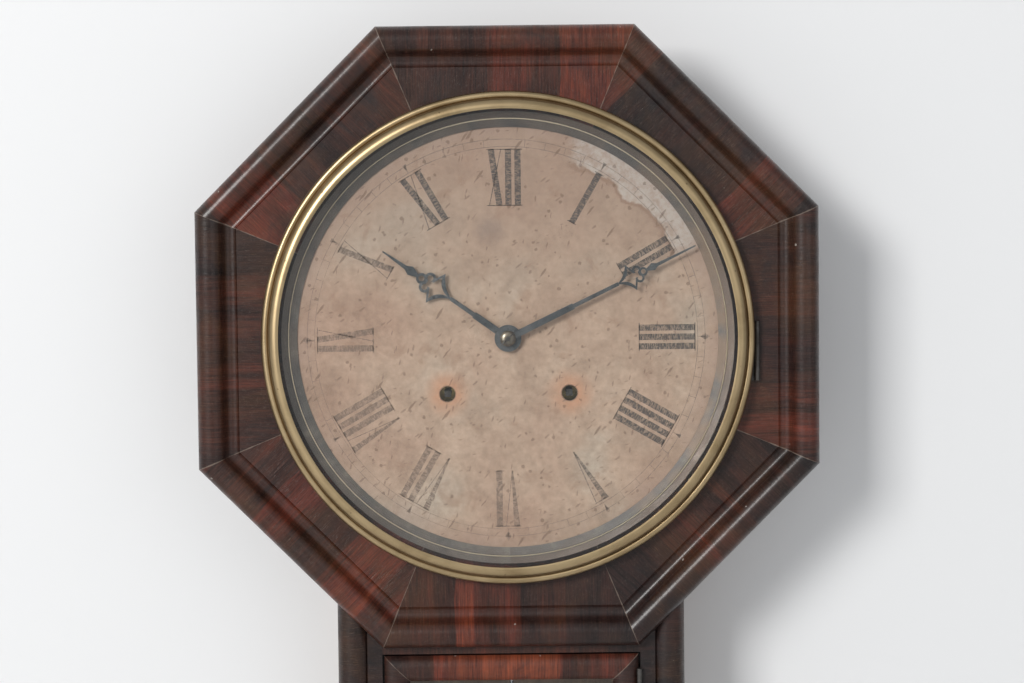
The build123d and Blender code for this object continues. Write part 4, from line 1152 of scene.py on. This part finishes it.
@dataclass
class Bezel:
    """Brass bezel, turned smooth, and its glass."""

    outer: float = 170.4
    sight: float = 158.4
    bore: float = 164.0
    crest: float = 104.4
    valley: tuple[float, float] = (165.6, 97.6)
    rebate: tuple[tuple[float, float], ...] = ((158.4, 102.8), (161.0, 102.8), (161.0, 97.5), (164.0, 93.5))
    foot: float = 88.4
    notch_foot: float = 89.75
    notch_height: float = -10.7
    notch_half: float = 21.2
    segments: int = 320
    sharp_angle: float = 32.0

    def arc(self, start: tuple[float, float], middle: tuple[float, float], end: tuple[float, float],
            count: int) -> list[tuple[float, float]]:
        """Points on the arc through three (radius, depth) points, without its last point.

        Args:
            start: First point.
            middle: Point on the way.
            end: Last point.
            count: Number of steps.

        Returns:
            The points.
        """
        (ax, ay), (bx, by), (cx, cy) = start, middle, end
        scale = 2.0 * (ax * (by - cy) + bx * (cy - ay) + cx * (ay - by))
        squares = [x * x + y * y for x, y in (start, middle, end)]
        centre_x = (squares[0] * (by - cy) + squares[1] * (cy - ay) + squares[2] * (ay - by)) / scale
        centre_y = (squares[0] * (cx - bx) + squares[1] * (ax - cx) + squares[2] * (bx - ax)) / scale
        radius = math.hypot(ax - centre_x, ay - centre_y)
        first, mid, last = (math.atan2(y - centre_y, x - centre_x) for x, y in (start, middle, end))
        sweep = (last - first) % math.tau
        if (mid - first) % math.tau > sweep:
            sweep -= math.tau
        turns = [first + sweep * step / count for step in range(count)]
        return [(centre_x + radius * math.cos(turn), centre_y + radius * math.sin(turn)) for turn in turns]

    def profile(self, foot: float) -> list[tuple[float, float]]:
        """Section of the ring as (radius, depth) points in millimetres, with its foot at a depth.

        Args:
            foot: Depth of the ring's back, in millimetres.

        Returns:
            The points, from the outer foot to the inner one.
        """
        lip = (self.sight, self.crest)
        points = [(self.outer, foot)]
        points += self.arc((self.outer, 94.5), (168.4, 98.8), self.valley, 10)
        points += self.arc(self.valley, (163.6, 103.4), lip, 12)
        return points + [lip, *self.rebate, (self.bore, foot)]

    def ring_mesh(self) -> bpy.types.Mesh:
        """The ring, with a notch in its back for the hinge leaf.

        Returns:
            The mesh.
        """
        work = bmesh.new()
        rings = []
        for index in range(self.segments):
            turn = math.tau * index / self.segments
            height = self.bore * math.sin(turn)
            is_notched = math.cos(turn) > 0 and abs(height - self.notch_height) < self.notch_half
            points = self.profile(self.notch_foot if is_notched else self.foot)
            across, up = MM * math.cos(turn), MM * math.sin(turn)
            rings.append([work.verts.new((across * radius, -MM * depth, DIAL_HEIGHT + up * radius))
                          for radius, depth in points])
        count = len(rings[0])
        for index, ring in enumerate(rings):
            after = rings[(index + 1) % self.segments]
            for step in range(count):
                work.faces.new([ring[step], ring[(step + 1) % count], after[(step + 1) % count], after[step]])
        bmesh.ops.recalc_face_normals(work, faces=work.faces)
        for face in work.faces:
            face.smooth = True
        mesh = bpy.data.meshes.new("bezel_turned")
        work.to_mesh(mesh)
        work.free()
        mesh.set_sharp_from_angle(angle=math.radians(self.sharp_angle))
        return mesh

    def dress(self) -> None:
        """Turn the ring in brass and give the pane its glass."""
        brass = SpunBrass("bezel_brass").material()
        dress(brass, "bezel_ring")
        ring = piece_from("bezel_turned", self.ring_mesh(), "bezel_door", brass)
        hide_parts("bezel_ring")
        dress(ClearGlass("bezel_glass").material(), "bezel_glass")


@dataclass
class Dial:
    """Dial pan, paper and sight ring, and what is printed on the paper."""

    front: float = 0.0891
    ink_depth: float = 0.00005
    centre_shift: tuple[float, float] = (-0.0012, -0.0003)
    hole_places: tuple[tuple[float, float], ...] = ((0.0424, -0.0385), (-0.0424, -0.0385))
    outer_line: float = 138.0
    inner_line: float = 132.9
    line_width: float = 0.40
    numeral_inner: float = 92.0
    numeral_outer: float = 131.2
    heavy: float = 4.3
    hair: float = 0.55
    numerals: tuple[str, ...] = ("XII", "I", "II", "III", "IIII", "V", "VI", "VII", "VIII", "IX", "X", "XI")
    advance: dict[Stroke, float] = field(default_factory=lambda: {
        Stroke.UPRIGHT: 6.5, Stroke.WEDGE: 11.6, Stroke.CROSS: 11.6})

    def centre(self) -> Point:
        """Centre of the printing."""
        return (self.centre_shift[0], 0.0, DIAL_HEIGHT + self.centre_shift[1])

    def stroke_outlines(self, stroke: Stroke, left: float) -> list[list[tuple[float, float]]]:
        """Outlines of one stroke group of a numeral, upright, in millimetres.

        Args:
            stroke: Which group it is.
            left: Where its left edge is.

        Returns:
            Convex outlines.
        """
        low, high, heavy, hair = self.numeral_inner, self.numeral_outer, self.heavy, self.hair
        width = self.advance[stroke]
        middle = left + width / 2
        if stroke is Stroke.UPRIGHT:
            bars = [[(middle - heavy / 2, low), (middle + heavy / 2, low), (middle + heavy / 2, high),
                     (middle - heavy / 2, high)]]
            reach = heavy / 2 + 1.2
        elif stroke is Stroke.WEDGE:
            bars = [[(middle - hair, low), (middle + hair, low), (left + 0.6 + heavy, high),
                     (left + 0.6, high)],
                    [(middle - hair / 2, low), (middle + hair / 2, low),
                     (left + width - 1.6 + hair, high), (left + width - 1.6, high)]]
            reach = width / 2
        else:
            bars = [[(left + width - 0.8 - heavy, low), (left + width - 0.8, low), (left + 0.8 + heavy, high),
                     (left + 0.8, high)],
                    [(left + 1.4, low), (left + 1.4 + hair, low), (left + width - 1.4, high),
                     (left + width - 1.4 - hair, high)]]
            reach = width / 2
        for level, is_drawn in ((high - hair, True), (low, stroke is not Stroke.WEDGE)):
            if is_drawn:
                bars.append([(middle - reach, level), (middle + reach, level), (middle + reach, level + hair),
                             (middle - reach, level + hair)])
        return bars

    def numeral_mesh(self) -> bpy.types.Mesh:
        """All twelve numerals, tops outward.

        Returns:
            The mesh.
        """
        outlines = []
        centre = self.centre()
        for hour, text in enumerate(self.numerals):
            strokes = [Stroke(letter) for letter in text]
            left = -sum(self.advance[stroke] for stroke in strokes) / 2
            turn = math.radians(30 * hour)
            for stroke in strokes:
                for outline in self.stroke_outlines(stroke, left):
                    outlines.append([(centre[0] + MM * (x * math.cos(turn) + z * math.sin(turn)),
                                      centre[2] + MM * (z * math.cos(turn) - x * math.sin(turn)))
                                     for x, z in outline])
                left += self.advance[stroke]
        return plate_mesh("dial_numerals", outlines, self.front, self.front + self.ink_depth)

    def ring_outlines(self, radius: float, count: int = 180) -> list[list[tuple[float, float]]]:
        """Short straight pieces that make a printed circle, about the printing's centre.

        Args:
            radius: The circle's radius, in millimetres.
            count: How many pieces the circle has.

        Returns:
            The outline of each piece.
        """
        inner, outer = radius - self.line_width / 2, radius + self.line_width / 2
        centre = self.centre()
        pieces = []
        for index in range(count):
            turns = (math.tau * index / count, math.tau * (index + 1) / count)
            corners = [(inner, turns[0]), (inner, turns[1]), (outer, turns[1]), (outer, turns[0])]
            pieces.append([(centre[0] + MM * r * math.sin(turn), centre[2] + MM * r * math.cos(turn))
                           for r, turn in corners])
        return pieces

    def track_mesh(self, material: bpy.types.Material) -> bpy.types.Mesh:
        """Minute track: two circles, sixty ticks, arrowheads at the hours and diamonds at the quarters.

        Args:
            material: The ink.

        Returns:
            The mesh.
        """
        back, front = self.front, self.front + self.ink_depth
        circles = plate_mesh("circles",
                             self.ring_outlines(self.outer_line) + self.ring_outlines(self.inner_line),
                             back, front)
        half, reach = MM * self.line_width / 2, MM * self.outer_line
        tick = plate_mesh("tick", [[(-half, MM * self.inner_line), (half, MM * self.inner_line),
                                    (half, reach), (-half, reach)]], back, front)
        arrow = plate_mesh("arrow", [[(0.0, MM * (self.outer_line - 3.6)),
                                      (MM * 1.5, MM * (self.outer_line + 1.2)),
                                      (-MM * 1.5, MM * (self.outer_line + 1.2))]], back, front)
        diamond = plate_mesh("diamond", [[(0.0, MM * (self.outer_line - 3.4)),
                                          (MM * 2.2, MM * self.outer_line),
                                          (0.0, MM * (self.outer_line + 3.4)),
                                          (-MM * 2.2, MM * self.outer_line)]], back, front)
        centre = self.centre()
        never = 1000
        meshes = [circles, ring_of("ticks", tick, 60, never, centre, material),
                  ring_of("arrows", arrow, 12, 3, centre, material),
                  ring_of("diamonds", diamond, 4, never, centre, material)]
        return merged("minute_track", meshes)

    def build(self) -> None:
        """Print the numerals and the minute track."""
        holes = tuple((x, 0.0, DIAL_HEIGHT + z) for x, z in self.hole_places)
        ink = AgedPaper("dial_ink", holes, 0.92).material()
        fine_ink = AgedPaper("track_ink", holes, 0.70, (0.10, 0.08, 0.07)).material()
        piece_from("dial_numerals", self.numeral_mesh(), "case", ink)
        piece_from("minute_track", self.track_mesh(fine_ink), "case", fine_ink)
        dress(AgedPaper("dial_paper", holes).material(), "dial_paper")
        zinc = AgedMetal("dial_zinc", (0.30, 0.30, 0.29), (0.18, 0.17, 0.16), (0.45, 0.6), 0.7)
        dress(zinc.material(), "dial_pan")
        dress(PatinatedRing("sight_ring").material(), "sight_ring")


@dataclass
class Hands:
    """Blackened hands, their collet and pin."""

    def dress(self) -> None:
        """Give the hands dull black and the collet worn brass."""
        black = AgedMetal("hand_black", (0.050, 0.056, 0.060), (0.085, 0.088, 0.090), (0.34, 0.52), 0.55,
                          70.0)
        dress(black.material(), "hour_hand", "minute_hand")
        worn = AgedMetal("collet_brass", (0.20, 0.17, 0.13), (0.10, 0.085, 0.072), (0.32, 0.5), 0.85, 160.0)
        dress(worn.material(), "hand_collet")
        dark = AgedMetal("pin_steel", (0.050, 0.046, 0.043), (0.030, 0.027, 0.025), (0.40, 0.55), 0.8)
        dress(dark.material(), "hand_pin", "centre_arbor", "time_winding_arbor", "strike_winding_arbor")


@dataclass
class Movement:
    """Plates, wheels, springs, pendulum, gong and hammer."""

    def dress(self) -> None:
        """Give the movement its brass, steel and blued springs."""
        brass = AgedMetal("plate_brass", (0.66, 0.50, 0.24), (0.45, 0.31, 0.14), (0.24, 0.42))
        dress(brass.material(), "front_plate", "back_plate", "time_great_wheel", "strike_great_wheel",
              "second_wheel", "centre_wheel", "third_wheel", "escape_wheel", "minute_wheel", "hour_wheel")
        steel = AgedMetal("arbor_steel", (0.42, 0.42, 0.43), (0.24, 0.22, 0.20), (0.24, 0.45))
        dress(steel.material(), "pallets", "hammer", "plate_pillars", "pendulum_rod", "hanger_screws")
        blued = AgedMetal("spring_blue", (0.10, 0.12, 0.18), (0.07, 0.06, 0.06), (0.28, 0.5))
        dress(blued.material(), "mainsprings", "gong")
        fitting = AgedMetal("fitting_brass", (0.66, 0.48, 0.22), (0.36, 0.24, 0.12), (0.22, 0.42))
        dress(fitting.material(), "pendulum_bob", "hanger_plate", "door_pull")


@dataclass
class BackFixings:
    """Nails that hold the backboard to the box."""

    head_radius: float = 0.0028
    inset: float = 0.006
    depth: float = 0.0003
    rows: int = 7
    sides: int = 16
    foot: float = -0.507
    below_top: float = 0.02

    def build(self) -> None:
        """Drive a nail at even steps down both sides of the back."""
        low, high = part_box("backboard")
        outlines = []
        for side in (low[0] + self.inset, high[0] - self.inset):
            for row in range(self.rows):
                height = self.foot + (high[2] - self.below_top - self.foot) * row / (self.rows - 1)
                turns = [math.tau * step / self.sides for step in range(self.sides)]
                outlines.append([(side + self.head_radius * math.cos(turn),
                                  height + self.head_radius * math.sin(turn)) for turn in turns])
        mesh = plate_mesh("back_nails", outlines, 0.0, self.depth)
        iron = AgedMetal("nail_iron", (0.14, 0.12, 0.11), (0.10, 0.055, 0.035), (0.45, 0.65), 0.8)
        piece_from("back_nails", mesh, "case", iron.material())


@dataclass
class Studio:
    """Wall, floor, lights and the camera."""

    camera_place: Point = (-0.003229, -1.918848, -0.070317)
    yaw: float = 0.003275
    pitch: float = -0.059044
    roll: float = -0.010732
    focal_pixels: float = 2641.2
    picture_width: float = 1024.0
    sensor: float = 36.0
    floor_height: float = -1.0
    wall_gap: float = 0.0006
    wall_top: float = 2.2
    half_side: float = 3.0
    target: Point = (0.0, -0.05, -0.22)
    lamps: tuple[tuple[str, Point, float, float, Colour], ...] = (
        ("window", (-2.1, -3.45, 1.12), 1.25, 122.0, (1.0, 0.99, 0.97)),
        ("room", (1.3, -2.2, 0.2), 1.6, 5.0, (1.0, 1.0, 1.0)),
        ("behind", (0.6, 2.0, 0.6), 1.5, 22.0, (1.0, 1.0, 1.0)))
    wall_colour: Colour = (0.78, 0.785, 0.795)

    def add_camera(self) -> None:
        """Stand the camera where the picture was taken from."""
        forward = Vector((math.sin(self.yaw) * math.cos(self.pitch),
                          math.cos(self.yaw) * math.cos(self.pitch), math.sin(self.pitch)))
        level = Vector((math.cos(self.yaw), -math.sin(self.yaw), 0.0))
        upward = level.cross(forward)
        right = math.cos(self.roll) * level + math.sin(self.roll) * upward
        up = math.cos(self.roll) * upward - math.sin(self.roll) * level
        data = bpy.data.cameras.new("camera")
        data.sensor_width = self.sensor
        data.lens = self.sensor * self.focal_pixels / self.picture_width
        camera = bpy.data.objects.new("camera", data)
        matrix = Matrix((right, up, -forward)).transposed().to_4x4()
        matrix.translation = self.camera_place
        camera.matrix_world = matrix
        bpy.context.scene.collection.objects.link(camera)
        bpy.context.scene.camera = camera

    def add_light(self, name: str, place: Point, size: float, power: float, colour: Colour) -> None:
        """Add a soft square lamp that looks at the clock.

        Args:
            name: The lamp's name.
            place: Where the lamp stands.
            size: Length of its side, in metres.
            power: Its power, in watts.
            colour: The colour of its light.
        """
        data = bpy.data.lights.new(name, "AREA")
        data.size = size
        data.energy = power
        data.color = colour
        lamp = bpy.data.objects.new(name, data)
        lamp.location = place
        lamp.rotation_euler = (Vector(self.target) - Vector(place)).to_track_quat("-Z", "Y").to_euler()
        bpy.context.scene.collection.objects.link(lamp)

    def plain(self, name: str, colour: Colour, is_one_sided: bool) -> bpy.types.Material:
        """Matt finish for the wall and floor. A one-sided one is clear from behind and to shadow rays.

        Args:
            name: The material's name.
            colour: The paint's colour.
            is_one_sided: Whether it is clear from behind and to shadow rays.

        Returns:
            The material.
        """
        surface = Surface(name)
        graph = surface.graph
        surface.set(base_color=colour, roughness=0.9, specular_ior_level=0.2)
        if is_one_sided:
            shadow_ray = graph.add("ShaderNodeLightPath").outputs["Is Shadow Ray"]
            behind = graph.add("ShaderNodeNewGeometry").outputs["Backfacing"]
            surface.see_through(graph.math("MAXIMUM", behind, shadow_ray))
        return surface.material

    def add_sheet(self, name: str, corners: Sequence[Point], material: bpy.types.Material) -> None:
        """Add a flat staged sheet.

        Args:
            name: The sheet's name.
            corners: Its four corners.
            material: Its finish.
        """
        mesh = bpy.data.meshes.new(name)
        mesh.from_pydata([tuple(corner) for corner in corners], [], [(0, 1, 2, 3)])
        mesh.materials.append(material)
        sheet = bpy.data.objects.new(name, mesh)
        bpy.context.scene.collection.objects.link(sheet)

    def build(self) -> None:
        """Set up the whole studio."""
        scene = bpy.context.scene
        scene.view_settings.view_transform = "Standard"
        world = bpy.data.worlds.new("world")
        world.use_nodes = True
        graph = Graph(world.node_tree)
        sky = world.node_tree.nodes["Background"]
        path = graph.add("ShaderNodeLightPath")
        graph.feed(sky.inputs["Strength"], graph.span(path.outputs["Is Camera Ray"], 0.0, 1.0, 0.46, 0.92))
        sky.inputs["Color"].default_value = (0.95, 0.975, 1.0, 1.0)
        scene.world = world
        wall = self.plain("wall_paint", self.wall_colour, True)
        ground = self.plain("floor_paint", (0.62, 0.62, 0.62), False)
        side, gap, low, top = self.half_side, self.wall_gap, self.floor_height, self.wall_top
        self.add_sheet("wall", [(-side, gap, low), (side, gap, low), (side, gap, top), (-side, gap, top)],
                       wall)
        self.add_sheet("floor", [(-side, -side, low), (side, -side, low), (side, side, low),
                                 (-side, side, low)], ground)
        for name, place, size, power, colour in self.lamps:
            self.add_light(name, place, size, power, colour)
        self.add_camera()


def main() -> None:
    """Build and dress the clock, then set up the studio."""
    logging.basicConfig(level=logging.INFO, format="%(name)s: %(message)s")
    for assembly in (Head(), Trunk(), TrunkDoor(), Bezel(), Hands(), Movement()):
        assembly.dress()
        LOG.info("finished %s", type(assembly).__name__)
    for assembly in (Dial(), BackFixings(), Studio()):
        assembly.build()
        LOG.info("finished %s", type(assembly).__name__)


if __name__ == "__main__":
    main()
